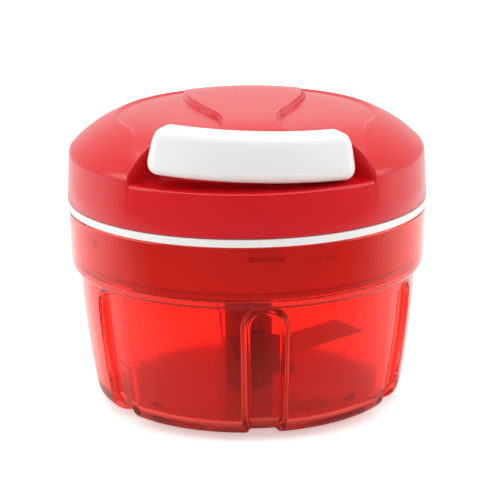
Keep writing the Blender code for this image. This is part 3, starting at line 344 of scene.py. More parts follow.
def tube(rows):
    """Closed tube through rows of 3-D points, with a flat cap at each end."""
    shape = bmesh.new()
    grid = [[shape.verts.new(point) for point in row] for row in rows]
    for first, second in zip(grid, grid[1:]):
        for i in range(len(first)):
            j = (i + 1) % len(first)
            shape.faces.new((first[i], first[j], second[j], second[i]))
    shape.faces.new(grid[0])
    shape.faces.new(grid[-1])
    return shape


def lathe(profile, columns):
    """Skin of a plain turned profile of (radius, height) points."""
    rows = []
    for radius, height in profile:
        rows.append([(*polar(radius, 360 * i / columns), height) for i in range(columns)])
    closed = profile[0][0] > 0 or profile[-1][0] > 0
    return skin(rows, closed)


def joined(shapes):
    """One bmesh that holds several."""
    whole = bmesh.new()
    for shape in shapes:
        mesh = bpy.data.meshes.new("part")
        shape.to_mesh(mesh)
        shape.free()
        whole.from_mesh(mesh)
        bpy.data.meshes.remove(mesh)
    return whole


def piece(shape, name, finish, body, *nodes, sharp=40.0):
    """Turn a bmesh in millimetres into a piece that rides on a body."""
    bmesh.ops.recalc_face_normals(shape, faces=shape.faces)
    bmesh.ops.scale(shape, vec=(MM, MM, MM), verts=shape.verts)
    mesh = bpy.data.meshes.new(name)
    shape.to_mesh(mesh)
    shape.free()
    mesh.shade_smooth()
    mesh.set_sharp_from_angle(angle=math.radians(sharp))
    mesh.materials.append(finish)
    made = bpy.data.objects.new(name, mesh)
    bpy.context.collection.objects.link(made)
    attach(made, body)
    if nodes:
        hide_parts(*nodes)
    print(name, "has", len(mesh.polygons), "faces")


slots = {part["node"]: part["material_slot"] for part in frame["record"]["subparts"]}

# %% [markdown]
# ## Red plastics
#
# The lid is an opaque glossy red with the faint orange peel of a moulded surface. The bowl is
# the same colour in clear plastic: light that crosses one wall loses most of its green and blue,
# so two walls look deep red. The rims catch the white around them and look pink.


# %% Red plastics
def make_lid_red():
    graph = Graph("red_plastic_look")
    patches = graph.noise(38.0, 3.0)
    colour = graph.mix(patches, rgb(212, 12, 26), rgb(205, 9, 22))
    peel = graph.noise(900.0, 2.0)
    return graph.shade(Base_Color=colour, Roughness=0.20 + graph.noise(160.0, 2.0) * 0.08,
                       Normal=graph.bump(peel, 0.00002, 0.4), IOR=1.5)


def make_clear_red():
    graph = Graph("clear_red_plastic_look")
    streak = graph.noise(30.0, 2.0, (1.0, 1.0, 0.35))
    colour = graph.mix(streak, (0.98, 0.112, 0.080, 1.0), (0.96, 0.094, 0.069, 1.0))
    flow = graph.noise(55.0, 2.0, (1.0, 1.0, 0.4))
    return graph.shade(Base_Color=colour, Roughness=0.04 + graph.noise(120.0, 2.0) * 0.05,
                       Normal=graph.bump(flow, 0.00006, 0.5), IOR=1.46,
                       Transmission_Weight=0.95)


def make_dark_red():
    graph = Graph("dark_red_plastic_look")
    colour = graph.mix(graph.noise(60.0, 2.0), rgb(168, 22, 34), rgb(150, 16, 28))
    return graph.shade(Base_Color=colour, Roughness=0.3 + graph.noise(200.0, 2.0) * 0.12,
                       Normal=graph.bump(graph.noise(700.0, 2.0), 0.00003, 0.4))


lid_red = make_lid_red()
clear_red = make_clear_red()
dark_red = make_dark_red()
print("red plastics:", lid_red.name, clear_red.name, dark_red.name)

# %% [markdown]
# ## White and grey plastics, silicone, steel and cord
#
# The handle and the ring are a satin white that is a little warm. Steel is a mirror with fine
# streaks along the way it was ground. The cord's braid is two sets of stripes that cross, and
# the grooves between them are painted darker grey as painted shade.


# %% Other finishes
def make_white():
    graph = Graph("white_plastic_look")
    colour = graph.mix(graph.noise(45.0, 3.0), rgb(238, 238, 236), rgb(232, 232, 229))
    return graph.shade(Base_Color=colour, Roughness=0.36 + graph.noise(150.0, 2.0) * 0.12,
                       Normal=graph.bump(graph.noise(800.0, 2.0), 0.00003, 0.5))


def make_grey():
    graph = Graph("grey_acetal_look")
    colour = graph.mix(graph.noise(50.0, 3.0), rgb(172, 174, 177), rgb(160, 162, 166))
    return graph.shade(Base_Color=colour, Roughness=0.42 + graph.noise(140.0, 2.0) * 0.1,
                       Normal=graph.bump(graph.noise(600.0, 2.0), 0.00003, 0.5))


def make_silicone():
    graph = Graph("silicone_look")
    colour = graph.mix(graph.noise(60.0, 2.0), rgb(226, 225, 220), rgb(216, 215, 210))
    return graph.shade(Base_Color=colour, Roughness=0.6 + graph.noise(180.0, 2.0) * 0.15,
                       Normal=graph.bump(graph.noise(1500.0, 3.0), 0.00002, 0.6))


def make_steel(name, light, dark, stretch, rough):
    graph = Graph(name)
    streak = graph.noise(240.0, 3.0, stretch)
    colour = graph.mix(streak, light, dark)
    return graph.shade(Base_Color=colour, Metallic=1.0, Roughness=rough + streak * 0.12,
                       Normal=graph.bump(streak, 0.00002, 0.4))


def make_cord():
    graph = Graph("cord_nylon_look")
    place = graph.node("ShaderNodeTexCoord")[3]
    stripes = []
    for lean in (0.7, -0.7):
        turned = graph.node("ShaderNodeMapping", None,
                            {"Vector": place, "Rotation": (0.4, lean, lean)})[0]
        stripes.append(graph.node("ShaderNodeTexWave", None,
                                  {"Vector": turned, "Scale": 420.0, "Distortion": 0.6})[1])
    braid = stripes[0].maths("MAXIMUM", stripes[1])
    # Painted shade: the grooves between the strands are darker grey and the crests lighter.
    colour = graph.mix(braid, rgb(196, 194, 188), rgb(238, 237, 232))
    return graph.shade(Base_Color=colour, Roughness=0.8 - braid * 0.15,
                       Normal=graph.bump(braid, 0.00012, 0.8))


white = make_white()
grey = make_grey()
silicone = make_silicone()
blade_steel = make_steel("blade_steel_look", rgb(205, 207, 210), rgb(180, 183, 188),
                         (0.15, 1.0, 1.0), 0.16)
spring_steel = make_steel("spring_steel_look", rgb(120, 126, 140), rgb(92, 98, 114),
                          (1.0, 1.0, 0.1), 0.28)
screw_steel = make_steel("screw_steel_look", rgb(196, 198, 202), rgb(170, 172, 176),
                         (1.0, 1.0, 1.0), 0.25)
cord_white = make_cord()
finishes = {
    "red_plastic": lid_red, "clear_red_plastic": clear_red, "dark_red_plastic": dark_red,
    "white_plastic": white, "grey_acetal": grey, "silicone": silicone,
    "blade_steel": blade_steel, "spring_steel": spring_steel, "screw_steel": screw_steel,
    "cord_nylon": cord_white,
}
print(len(finishes), "finishes")

# %% [markdown]
# ## The model's own nodes
#
# Many small pieces have the right shape already. Each keeps its mesh and takes the finish that
# its record names, so that every node has a material with some life in it.

# %% Dress every node
for node, slot in slots.items():
    for part_slot in frame["nodes"][node].material_slots:
        part_slot.material = finishes[slot]
print("dressed", len(slots), "nodes")

# %% [markdown]
# ## The bowl
#
# The bowl is one clear moulding. Its wall swells as it rises, six flutes with arched tops are
# pressed into it, and a wider collar stands on a round shoulder. Inside, each flute is a rib.
# Two profiles describe it: the plain wall, and the floor of a flute. Each point of the skin is
# a blend of the two, and the blend is an arch drawn on the wall with a soft edge.

# %% Bowl sizes
BOWL_TURN = 3.7
FOOT_R = 46.0
FOOT_Z = 0.5
FOOT_ROUND = 6.5
HOLLOW_R = 38.0
WALL = 2.2
WALL_R = 60.9
WALL_SWELL = 4.9
SHOULDER = 49.3
FLUTE_DEPTH = 2.6
FLUTE_HALF = 5.9
FLUTE_TOP = 47.7
FLUTE_FOOT_R = 43.4
FLUTE_EDGE = 1.7
ARCH_R = 57.0
NOTCH = 1.1
FLOOR = 3.4
CORNER_R = 47.0
LEDGE = 52.3
LEDGE_R = 58.7
COLLAR_LOW_R = 64.2
COLLAR_TOP_R = 64.66
COLLAR_IN_R = 62.1
RIM = 72.0
BOSS_R = 6.0
BOSS_TOP = 8.4
PIN_HOLE_R = 2.3
STUD_SIZE = 2.2
STUD_RING_R = 42.0


def wall_radius(z):
    """Outside of the plain wall at a height; it swells fast near the foot."""
    rise = (z - FOOT_ROUND) / (SHOULDER - FOOT_ROUND)
    return WALL_R - WALL_SWELL * max(0.0, 1 - rise) ** 1.6


def arch(s, z, half, top):
    """1 inside an arch of a flute and 0 outside, with a soft edge."""
    middle = top - half
    inside = half - (abs(s) if z < middle else math.hypot(s, z - middle))
    return soft(inside / FLUTE_EDGE + 0.5)


print("wall radius at the foot and shoulder:", wall_radius(FOOT_ROUND), wall_radius(SHOULDER))


# %% Bowl profiles
def bowl_rows():
    """Rows of (plain point, flute point, arch half width, arch top)."""
    rows = []

    def plain(points):
        rows.extend((point, point, 1.0, -50.0) for point in points)

    plain([(HOLLOW_R * i / 8, FOOT_Z + 0.5 * (1 - (i / 8) ** 2) ** 2) for i in range(9)]
          + [(40.0, FOOT_Z)])
    for radius in (40.6, 42.0, FLUTE_FOOT_R, 44.8, FOOT_R):
        rows.append(((radius, FOOT_Z), (min(radius, FLUTE_FOOT_R), NOTCH), FLUTE_HALF, FLUTE_TOP))
    groove_end = wall_radius(FOOT_ROUND + NOTCH) - FLUTE_DEPTH
    for step in range(1, 11):
        turn = math.radians(9 * step)
        out = FOOT_R + (wall_radius(FOOT_ROUND) - FOOT_R) * math.sin(turn)
        groove = FLUTE_FOOT_R + (groove_end - FLUTE_FOOT_R) * math.sin(turn)
        lift = 1 - math.cos(turn)
        rows.append(((out, FOOT_Z + (FOOT_ROUND - FOOT_Z) * lift),
                     (groove, NOTCH + FOOT_ROUND * lift), FLUTE_HALF, FLUTE_TOP))
    heights = [FOOT_ROUND + 1.75 * i for i in range(1, 18)]
    heights += [heights[-1] + 0.38 * i for i in range(1, 34)]
    for z in heights:
        ease = max(0.0, NOTCH * (1 - (z - FOOT_ROUND) / 20))
        low = min(z + ease, SHOULDER)
        rows.append(((wall_radius(z), z), (wall_radius(low) - FLUTE_DEPTH, low),
                     FLUTE_HALF, FLUTE_TOP))
    plain(arc((WALL_R, 49.1), (WALL_R, 49.5), (61.3, 49.6), 3)
          + arc((61.3, 49.6), (COLLAR_LOW_R, 50.1), (COLLAR_LOW_R, 54.7), 12)[1:]
          + run((COLLAR_LOW_R, 54.7), (COLLAR_TOP_R, RIM - 0.7), 5)
          + arc((COLLAR_TOP_R, RIM - 0.6), (COLLAR_TOP_R, RIM), (COLLAR_TOP_R - 0.56, RIM), 3)
          + arc((COLLAR_IN_R + 0.6, RIM), (COLLAR_IN_R, RIM), (COLLAR_IN_R, RIM - 0.5), 3)
          + run((COLLAR_IN_R, RIM - 0.5), (COLLAR_IN_R, LEDGE + 1.0), 5)
          + arc((COLLAR_IN_R, LEDGE + 0.8), (COLLAR_IN_R, LEDGE), (61.4, LEDGE), 4)
          + arc((59.4, LEDGE), (LEDGE_R + 0.05, LEDGE), (LEDGE_R, LEDGE - 0.6), 3))
    inner_half = FLUTE_HALF + WALL * 0.8
    inner_top = FLUTE_TOP + WALL * 0.8
    for z in [51.3 - 0.38 * i for i in range(35)] + [38.0 - 1.75 * i for i in range(16)]:
        plain_r = min(wall_radius(z) - WALL, LEDGE_R)
        rows.append(((plain_r, z), (plain_r - FLUTE_DEPTH, z), inner_half, inner_top))
    inner_wall = wall_radius(FLOOR + FOOT_ROUND) - WALL
    for step in range(10):
        turn = math.radians(90 - 9 * step)
        out = CORNER_R + (inner_wall - CORNER_R) * math.sin(turn)
        rib = FLUTE_FOOT_R + (inner_wall - FLUTE_DEPTH - FLUTE_FOOT_R) * math.sin(turn)
        lift = FLOOR + FOOT_ROUND * (1 - math.cos(turn))
        rows.append(((out, lift), (rib, lift), inner_half, inner_top))
    plain([(42.0, FLOOR), (30.0, FLOOR), (18.0, FLOOR), (9.0, FLOOR)]
          + arc((BOSS_R + 0.8, FLOOR), (BOSS_R, FLOOR), (BOSS_R, FLOOR + 0.8), 3)
          + arc((BOSS_R, BOSS_TOP - 0.5), (BOSS_R, BOSS_TOP), (BOSS_R - 0.5, BOSS_TOP), 3)
          + arc((PIN_HOLE_R + 0.4, BOSS_TOP), (PIN_HOLE_R, BOSS_TOP),
                (PIN_HOLE_R, BOSS_TOP - 0.4), 2)
          + [(PIN_HOLE_R, 2.2), (0, 2.2)])
    return rows


def fluted_columns():
    """Directions round the bowl, close together at the edges of the flutes."""
    half = [0.4 * i for i in range(12)] + [4.75 + 0.14 * i for i in range(31)]
    half += [9.5 + 1.28125 * i for i in range(17)]
    sector = sorted({round(side * a, 4) for a in half for side in (-1, 1) if side * a > -30.0})
    return [BOWL_TURN + 60 * i + a for i in range(6) for a in sector]


def make_bowl():
    columns = fluted_columns()
    rows = []
    for out, groove, half, top in bowl_rows():
        row = []
        for angle in columns:
            off = (angle - BOWL_TURN + 30) % 60 - 30
            share = arch(math.radians(off) * ARCH_R, out[1], half, top)
            radius, height = blend(out, groove, share)
            row.append((*polar(radius, angle), height))
        rows.append(row)
    shapes = [skin(rows)]
    stud = [(STUD_SIZE * i / 6, FOOT_Z * (i / 6) ** 2) for i in range(7)] + [(0, FOOT_Z + 0.05)]
    for i in range(6):
        shapes.append(lathe(stud, 24))
        bmesh.ops.translate(shapes[-1], verts=shapes[-1].verts,
                            vec=(*polar(STUD_RING_R, BOWL_TURN + 30 + 60 * i), 0))
    piece(joined(shapes), "bowl_moulding", clear_red, "bowl_body", "bowl", sharp=50.0)


make_bowl()

# %% [markdown]
# ## Catches inside the collar
#
# Four small bars inside the collar hold the lid's lugs, and a foot at the end of three of them
# stops the twist. They are bevelled blocks bent round the collar, sunk a little into its wall.


# %% Catches
def bent_block(inner, outer, start, end, low, high, bevel, steps=10):
    """Block bent round the axis, with bevelled edges."""
    rows = []
    for step in range(steps + 1):
        angle = start + (end - start) * step / steps
        rows.append([(*polar(radius, angle), height) for radius, height in
                     ((inner, low), (outer, low), (outer, high), (inner, high))])
    shape = tube(rows)
    bmesh.ops.recalc_face_normals(shape, faces=shape.faces)
    sharp = [edge for edge in shape.edges if edge.calc_face_angle(0.0) > 0.7]
    bmesh.ops.bevel(shape, geom=sharp, offset=bevel, segments=2, affect="EDGES")
    return shape


def make_catches():
    inner, outer = COLLAR_IN_R - 1.5, COLLAR_IN_R + 0.5
    low, high, foot = 66.5, 68.9, 63.2
    shapes = []
    for i in range(4):
        turn = BOWL_TURN + 90 * i
        shapes.append(bent_block(inner, outer, turn - 5.8, turn + 5.8, low, high, 0.4))
        if i:
            shapes.append(bent_block(inner, outer, turn - 7.46, turn - 5.7, foot, high, 0.3, 3))
    piece(joined(shapes), "bowl_catches", clear_red, "bowl_body")


make_catches()

# %% [markdown]
# ## The lid
#
# The cover has an upright side, a soft crease, and a shallow dome. Two scoops lie a little
# lower than the dome and leave a raised bridge between them, narrow at the handle and wide at
# the back. A recess for the handle is cut into the front. The skin follows one profile in each
# direction: plain over the dome, or down into the recess, with a soft change at its two sides.

# %% Lid sizes
LID_R = 64.1
LID_FOOT = 75.4
LID_WALL = 2.0
CREASE = 93.1
DOME_RISE, DOME_POWER = 15.5, 4.5
SCOOP_RISE, SCOOP_POWER = 13.5, 5.0
SCOOP_R = 46.0
SCOOP_EDGE = 2.0
SCOOP_FLARE = 10.5
FLARE_FROM, FLARE_OVER = 65.0, 24.0
BRIDGE_HALF = 9.6
BRIDGE_SPREAD = 12.2
BRIDGE_FRONT = -28.0
BRIDGE_LONG = 48.0
BRIDGE_FLARE = 5.0
BRIDGE_EDGE = 0.9
RECESS_FLOOR = 90.5
RECESS_EDGE = 41.3
RECESS_CORNER = 2.2
RECESS_BOW_Y = -87.5
RECESS_BOW_R = 127.0
RECESS_REACH = 48.0
LIP = 0.6


def dome(radius, rise=DOME_RISE, power=DOME_POWER):
    """Height of a dome that is flat on top and falls off towards the crease."""
    return CREASE + rise * (1 - (radius / LID_R) ** power)


def bridge_half(y):
    """Half width of the raised bridge at a distance behind the axis."""
    ahead = max(0.0, (BRIDGE_FRONT - y) / 12.0)
    return (BRIDGE_HALF + BRIDGE_SPREAD * soft((y - BRIDGE_FRONT) / BRIDGE_LONG)
            + BRIDGE_FLARE * ahead * ahead)


def scoop_radius(x, y):
    """Outer edge of the scoops, which flares out to the corners of the recess."""
    spread = (FLARE_FROM - math.degrees(math.atan2(abs(x), -y))) / FLARE_OVER
    return SCOOP_R + SCOOP_FLARE * min(1.1, max(0.0, spread)) ** 1.5


def lid_top(x, y):
    """Height of the lid's top, with the scoops."""
    radius = math.hypot(x, y)
    inside = soft((scoop_radius(x, y) - radius) / SCOOP_EDGE + 0.5)
    beside = soft((abs(x) - bridge_half(y)) / BRIDGE_EDGE + 0.5)
    low = dome(radius, SCOOP_RISE, SCOOP_POWER)
    return dome(radius) + (low - dome(radius)) * inside * beside


def recess_back(angle):
    """Distance from the axis to the back wall of the recess, which is an arc in plan."""
    turn = math.radians(angle)
    side = RECESS_BOW_Y * math.sin(turn)
    return RECESS_BOW_Y * math.cos(turn) + math.sqrt(RECESS_BOW_R ** 2 - side * side)


print("top of the lid:", lid_top(0, 0), "mm; recess starts", recess_back(0), "mm in front")


# %% Lid skin
def lid_column(angle, wall=0.0):
    """Profile of the lid in one direction; a wall draws the skin inwards by its thickness."""
    off = abs((angle + 180) % 360 - 180)
    edge = RECESS_EDGE + math.degrees(wall * 0.85 / 55.0)
    share = 1 - soft(off - edge + 0.5)
    back = (min(recess_back(off), RECESS_REACH) if off < 60 else RECESS_REACH) - wall
    floor = RECESS_FLOOR - wall

    def top(radius):
        if wall:
            return dome(radius + 1.6, SCOOP_RISE, SCOOP_POWER) - 2.2
        return lid_top(*polar(radius, angle))

    side = LID_R - wall * 1.1
    crease_end = side - 1.2
    floor_end = side - 0.9
    plain = arc((side + 0.06, CREASE - 1.9 - wall), (side, CREASE - wall * 0.9),
                (crease_end, top(crease_end)), 8)
    cut = arc((side + 0.06, floor - 1.1), (side, floor), (floor_end, floor), 8)
    foot = back + RECESS_CORNER
    for step in range(1, 13):
        t = step / 12
        near = crease_end + (back + 2 * LIP - crease_end) * t
        plain.append((near, top(near)))
        cut.append((floor_end + (foot - floor_end) * t, floor))
    lip = back - LIP
    inner = arc((foot, floor), (back, floor), (back, floor + RECESS_CORNER), 6)[1:]
    inner += run((back, floor + RECESS_CORNER), (back, top(back) - LIP), 4)
    inner += arc((back, top(back) - LIP), (back, top(back)), (lip, top(lip)), 4)[1:]
    for step, point in enumerate(inner, start=1):
        near = back + 2 * LIP - 3 * LIP * step / len(inner)
        plain.append((near, top(near)))
        cut.append(point)
    column = [blend(a, b, share) for a, b in zip(plain, cut)]
    rows = 12 if wall else 96
    for step in range(1, rows + 1):
        radius = lip * (1 - step / rows)
        column.append((radius, top(radius)))
    return column


def lid_columns():
    """Directions round the lid, close together at the sides of the recess."""
    half = [0.5 * i for i in range(80)] + [39.6 + 0.12 * i for i in range(40)]
    half += [44.6 + 0.55 * i for i in range(247)]
    return sorted({round(side * a, 4) for a in half for side in (-1, 1) if a < 180})


def make_lid():
    angles = lid_columns()
    inside = [(61.95, 88.0), (62.6, 80.0), (62.6, LID_FOOT + 0.2), (62.8, LID_FOOT)]
    outside = [(64.75, LID_FOOT), (65.0, LID_FOOT + 0.25), (64.6, 82.0)]
    columns = [lid_column(angle, LID_WALL)[::-1] + inside + outside + lid_column(angle)
               for angle in angles]
    rows = [[(*polar(radius, angle), height) for angle, (radius, height) in zip(angles, row)]
            for row in zip(*columns)]
    piece(skin(rows), "lid_moulding", lid_red, "lid_body", "lid_cover", sharp=50.0)


make_lid()

# %% [markdown]
# ## The white base and its seal
#
# The white ring that shows between lid and bowl is the edge of a base plate. Below it a skirt
# drops into the collar with four lugs on it, and a bush in the middle carries the drive. A low
# rim on top of the plate centres it in the cover.

# %% Base sizes
PLATE_LOW = 72.3
PLATE_TOP = 75.1
RING_R = 65.0
SKIRT_R = 60.3
SKIRT_IN_R = 58.3
SKIRT_FOOT = 55.0
RIM_R = 62.3
RIM_IN_R = 60.7
RIM_TOP = 77.6
BUSH_R = 9.2
BUSH_IN_R = 6.2
BUSH_FOOT = 68.0
BUSH_TOP = 79.9
LUG_LOW = 63.5
LUG_TOP = 66.2
LUG_HALF_TURN = 4.9
SEAL_R = 60.3
SEAL_IN_R = 57.3
SEAL_LOW = 52.6
SEAL_TOP = 54.7


# %% Base, lugs and seal
def base_profile():
    """Half section: bush, underside, skirt, ring, and back over the top."""
    points = [(BUSH_IN_R, BUSH_FOOT), (BUSH_R - 0.2, BUSH_FOOT)]
    points += arc((BUSH_R, BUSH_FOOT), (BUSH_R, PLATE_LOW), (BUSH_R + 1.2, PLATE_LOW), 3)
    points += run((BUSH_R + 1.2, PLATE_LOW), (SKIRT_IN_R - 0.9, PLATE_LOW), 6)
    points += arc((SKIRT_IN_R - 0.7, PLATE_LOW), (SKIRT_IN_R, PLATE_LOW),
                  (SKIRT_IN_R, PLATE_LOW - 0.7), 3)
    points += run((SKIRT_IN_R, PLATE_LOW - 0.7), (SKIRT_IN_R, SKIRT_FOOT + 0.4), 6)
    points += arc((SKIRT_IN_R, SKIRT_FOOT + 0.3), (SKIRT_IN_R + 0.1, SKIRT_FOOT),
                  (SKIRT_IN_R + 0.4, SKIRT_FOOT), 2)
    points += arc((SKIRT_R - 0.4, SKIRT_FOOT), (SKIRT_R, SKIRT_FOOT),
                  (SKIRT_R, SKIRT_FOOT + 0.5), 3)
    points += run((SKIRT_R, SKIRT_FOOT + 0.5), (SKIRT_R, PLATE_LOW - 0.5), 6)
    points += arc((SKIRT_R, PLATE_LOW - 0.4), (SKIRT_R, PLATE_LOW), (SKIRT_R + 0.5, PLATE_LOW), 2)
    points += arc((RING_R - 0.5, PLATE_LOW), (RING_R, PLATE_LOW), (RING_R, PLATE_LOW + 0.5), 4)
    points += arc((RING_R, PLATE_TOP - 0.5), (RING_R, PLATE_TOP), (RING_R - 0.5, PLATE_TOP), 4)
    points += [(RIM_R, PLATE_TOP), (RIM_R, RIM_TOP), (RIM_IN_R, RIM_TOP), (RIM_IN_R, PLATE_TOP)]
    points += [(BUSH_R, PLATE_TOP), (BUSH_R, BUSH_TOP), (BUSH_IN_R, BUSH_TOP)]
    return points


def seal_profile():
    """Closed section with a lip that bulges outwards."""
    return (arc((SEAL_IN_R, SEAL_LOW + 0.5), (SEAL_IN_R, SEAL_LOW), (SEAL_IN_R + 0.5, SEAL_LOW), 3)
            + arc((SEAL_R - 0.8, SEAL_LOW), (SEAL_R - 0.3, SEAL_LOW), (SEAL_R, SEAL_LOW + 1.0), 3)
            + arc((SEAL_R, SEAL_TOP - 1.0), (SEAL_R - 0.3, SEAL_TOP), (SEAL_R - 0.8, SEAL_TOP), 3)
            + arc((SEAL_IN_R + 0.5, SEAL_TOP), (SEAL_IN_R, SEAL_TOP), (SEAL_IN_R, SEAL_TOP - 0.5), 3))


def make_base():
    shapes = [lathe(base_profile(), 256)]
    for i in range(4):
        turn = BOWL_TURN + 20 + 90 * i
        shapes.append(bent_block(SKIRT_R - 0.7, SKIRT_R + 1.5, turn - LUG_HALF_TURN,
                                 turn + LUG_HALF_TURN, LUG_LOW, LUG_TOP, 0.5))
    piece(joined(shapes), "base_moulding", white, "lid_body", "mechanism_base")


make_base()
piece(lathe(seal_profile(), 192), "seal_lip", silicone, "seal_body", "seal_ring")

# %% [markdown]
# ## The pull handle
#
# The handle is a curved bar with a rounded section that leans back a little at the front. It is
# swept along its curve, and its ends are rounded by drawing the section in along a quarter
# ellipse. The ends slant, so that the bar is shorter at the top and front. An opening in its
# back takes a cover. It hangs a little crooked on its cord.

# %% Handle sizes
HANDLE_BOW = 70.0
HANDLE_CENTRE = 9.0
HANDLE_DEEP = 14.6
HANDLE_HIGH = 15.9
HANDLE_LOW = 93.0
HANDLE_HALF_TURN = 32.4
HANDLE_CORNER = 3.4
HANDLE_LEAN = 2.5
END_STATIONS = 5.0
END_ROUND = 4.5
END_DEPTH = 4.2
END_SLANT = 2.3
END_SPREAD = 2.4
COVER_HALF_TURN = 26.2
COVER_DEEP = 2.6
COVER_HALF_HIGH = 4.55
TILT = 2.8
CORD_Z = 98.8


# %% Handle
def handle_section(opening, shrink):
    """Rounded section as (distance from the bow's centre, height) points."""
    deep = HANDLE_DEEP / 2 - shrink
    high = HANDLE_HIGH / 2 - shrink
    corner = min(deep, HANDLE_CORNER - shrink * 0.2)
    points = []
    for quarter, (u_side, v_side) in enumerate(((1, 1), (-1, 1), (-1, -1), (1, -1))):
        for step in range(9):
            angle = math.radians(90 * quarter + 90 * step / 8)
            points.append((u_side * (deep - corner) + corner * math.cos(angle),
                           v_side * (high - corner) + corner * math.sin(angle)))
        if quarter == 1:
            edge = min(COVER_HALF_HIGH, high - corner)
            points += [(-deep, edge), (-deep + opening, edge - 0.05),
                       (-deep + opening, 0.05 - edge), (-deep, -edge)]
    section = []
    for u, v in points:
        lean = HANDLE_LEAN * (v / HANDLE_HIGH + 0.5) * (u / deep + 1) / 2
        section.append((HANDLE_BOW - HANDLE_DEEP / 2 + u - lean, HANDLE_LOW + HANDLE_HIGH / 2 + v))
    return section


def drawn_in(along, length, depth):
    """How far a quarter ellipse is drawn in at a distance from its end."""
    share = max(0.0, 1 - along / length)
    return depth * (1 - math.sqrt(1 - share * share))


def handle_stations():
    """Directions along the bar, the opening's depth, and how far the section shrinks."""
    middle = HANDLE_BOW - HANDLE_DEEP / 2
    left = []
    for step in range(17):
        along = END_STATIONS * (1 - math.cos(math.radians(90 * step / 16)))
        left.append((-HANDLE_HALF_TURN + math.degrees(along / middle), 0.0,
                     drawn_in(along, END_ROUND, END_DEPTH)))
    left.append((-COVER_HALF_TURN - 0.08, 0.0, 0.0))
    left.append((-COVER_HALF_TURN, COVER_DEEP, 0.0))
    inner = [(COVER_HALF_TURN * i / 24, COVER_DEEP, 0.0) for i in range(-23, 24)]
    return left + inner + [(-angle, *rest) for angle, *rest in reversed(left)]


def make_handle():
    rows = []
    for angle, opening, shrink in handle_stations():
        outer = max(0.0, abs(angle) - COVER_HALF_TURN) / (HANDLE_HALF_TURN - COVER_HALF_TURN)
        row = []
        for radius, height in handle_section(opening, shrink):
            slant = outer * (END_SLANT * (height - HANDLE_LOW) / HANDLE_HIGH
                             - END_SPREAD * (HANDLE_BOW - radius) / HANDLE_DEEP)
            row.append((*polar(radius, angle - math.copysign(slant, angle)), height))
        rows.append(row)
    shape = tube(rows)
    bmesh.ops.translate(shape, verts=shape.verts, vec=(0, HANDLE_CENTRE, -CORD_Z))
    bmesh.ops.rotate(shape, verts=shape.verts, matrix=Matrix.Rotation(math.radians(TILT), 3, "Y"))
    bmesh.ops.translate(shape, verts=shape.verts, vec=(0, 0, CORD_Z))
    piece(shape, "handle_grip", white, "handle_body", "handle_shell", sharp=50.0)


make_handle()

# %% [markdown]
# ## The cord
#
# A braided cord runs from the reel through an eyelet in the recess to a knot in the handle. The
# braid is modelled: two sets of strands that cross stand a little out of the surface. One
# sweep makes every stretch, and the knot is the same cord along a trefoil.


# %% Cord sizes
CORD_R = 1.0
KNOT_CORD_R = 0.95
BRAID_RELIEF = 0.05
BRAID_LEAN = 2.6
WINDING_R = 18.9
WINDING_FOOT = 92.9
WINDING_PITCH = 2.45
LEAD_R = 21.2
BEND_Y = -33.5
LEAD_END = -38.2
TAIL_START = -38.5
TAIL_LENGTH = 10.2
KNOT_Y = -51.6


# %% Cord
def sweep(path, radius, sides=16):
    """Braided tube along a list of points, with the strands in relief."""
    path = [Vector(point) for point in path]
    rows = []
    side = None
    length = 0.0
    for i, point in enumerate(path):
        ahead = path[min(i + 1, len(path) - 1)]
        behind = path[max(i - 1, 0)]
        along = (ahead - behind).normalized()
        side = side or along.orthogonal().normalized()
        side = (side - along * side.dot(along)).normalized()
        across = along.cross(side)
        length += (point - path[i - 1]).length if i else 0.0
        row = []
        for j in range(sides):
            turn = math.tau * j / sides
            lean = BRAID_LEAN * length
            strands = math.sin(4 * turn + lean) * math.sin(4 * turn - lean)
            out = radius * (1.0 + BRAID_RELIEF * strands)
            row.append(point + (side * math.cos(turn) + across * math.sin(turn)) * out)
        rows.append(row)
    return tube(rows)


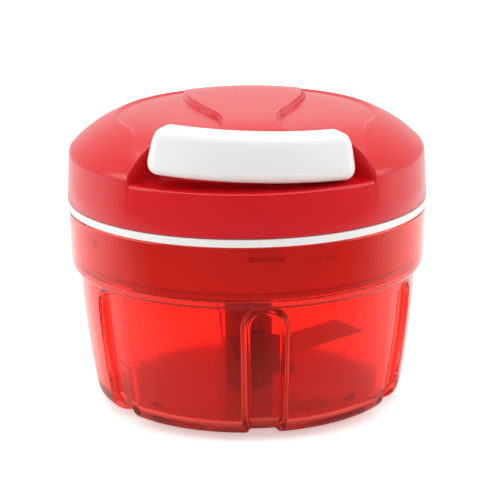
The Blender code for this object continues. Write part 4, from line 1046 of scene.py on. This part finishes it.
def smooth_path(points, spacing):
    """Even points of a smooth curve through the given ones."""
    ends = [points[0]] + points + [points[-1]]
    path = []
    for i in range(1, len(ends) - 2):
        before, start, end, after = (Vector(ends[i + k]) for k in (-1, 0, 1, 2))
        count = max(1, round((end - start).length / spacing))
        for step in range(count):
            t = step / count
            path.append(0.5 * (2 * start + (end - before) * t
                               + (2 * before - 5 * start + 4 * end - after) * t ** 2
                               + (3 * start - before - 3 * end + after) * t ** 3))
    path.append(Vector(points[-1]))
    return path


def lead_points():
    """Off the winding, round the reel, straight to the bend and out through the eyelet."""
    leaves_at = math.degrees(math.acos(LEAD_R / -BEND_Y))
    points = [(*polar(LEAD_R, leaves_at + 20 * i), CORD_Z) for i in range(4, -1, -1)]
    x, y, _ = points[-1]
    for share in (0.3, 0.6, 0.88):
        points.append((x * (1 - share), y + (BEND_Y - y) * share, CORD_Z))
    return points + [(0.0, BEND_Y - 1.6, CORD_Z), (0.0, LEAD_END, CORD_Z)]


def trefoil(step, steps=120):
    """Point of the knot's middle line, which fills a ball of 2.6 mm radius."""
    t = math.tau * step / steps
    ring = 1.15 + 0.5 * math.cos(3 * t)
    return ring * math.cos(2 * t), KNOT_Y + 0.62 * math.sin(3 * t), CORD_Z + ring * math.sin(2 * t)


winding = [(*polar(WINDING_R, 2.0 * i), WINDING_FOOT + WINDING_PITCH * i / 180) for i in range(451)]
tail = [(0.0, TAIL_START - TAIL_LENGTH * i / 34, CORD_Z) for i in range(35)]
knot = [trefoil(step) for step in range(121)]
for shape, name, body, node in (
        (sweep(winding, CORD_R, 12), "cord_on_reel", "reel_body", "cord_winding"),
        (sweep(smooth_path(lead_points(), 0.4), CORD_R), "cord_from_reel", "lid_body", "cord_lead"),
        (sweep(tail, CORD_R), "cord_to_handle", "handle_body", "cord_tail"),
        (sweep(knot, KNOT_CORD_R), "cord_stop_knot", "handle_body", "cord_knot")):
    piece(shape, name, cord_white, body, node, sharp=60.0)

# %% [markdown]
# ## End

# %% End
print("the scene is built")
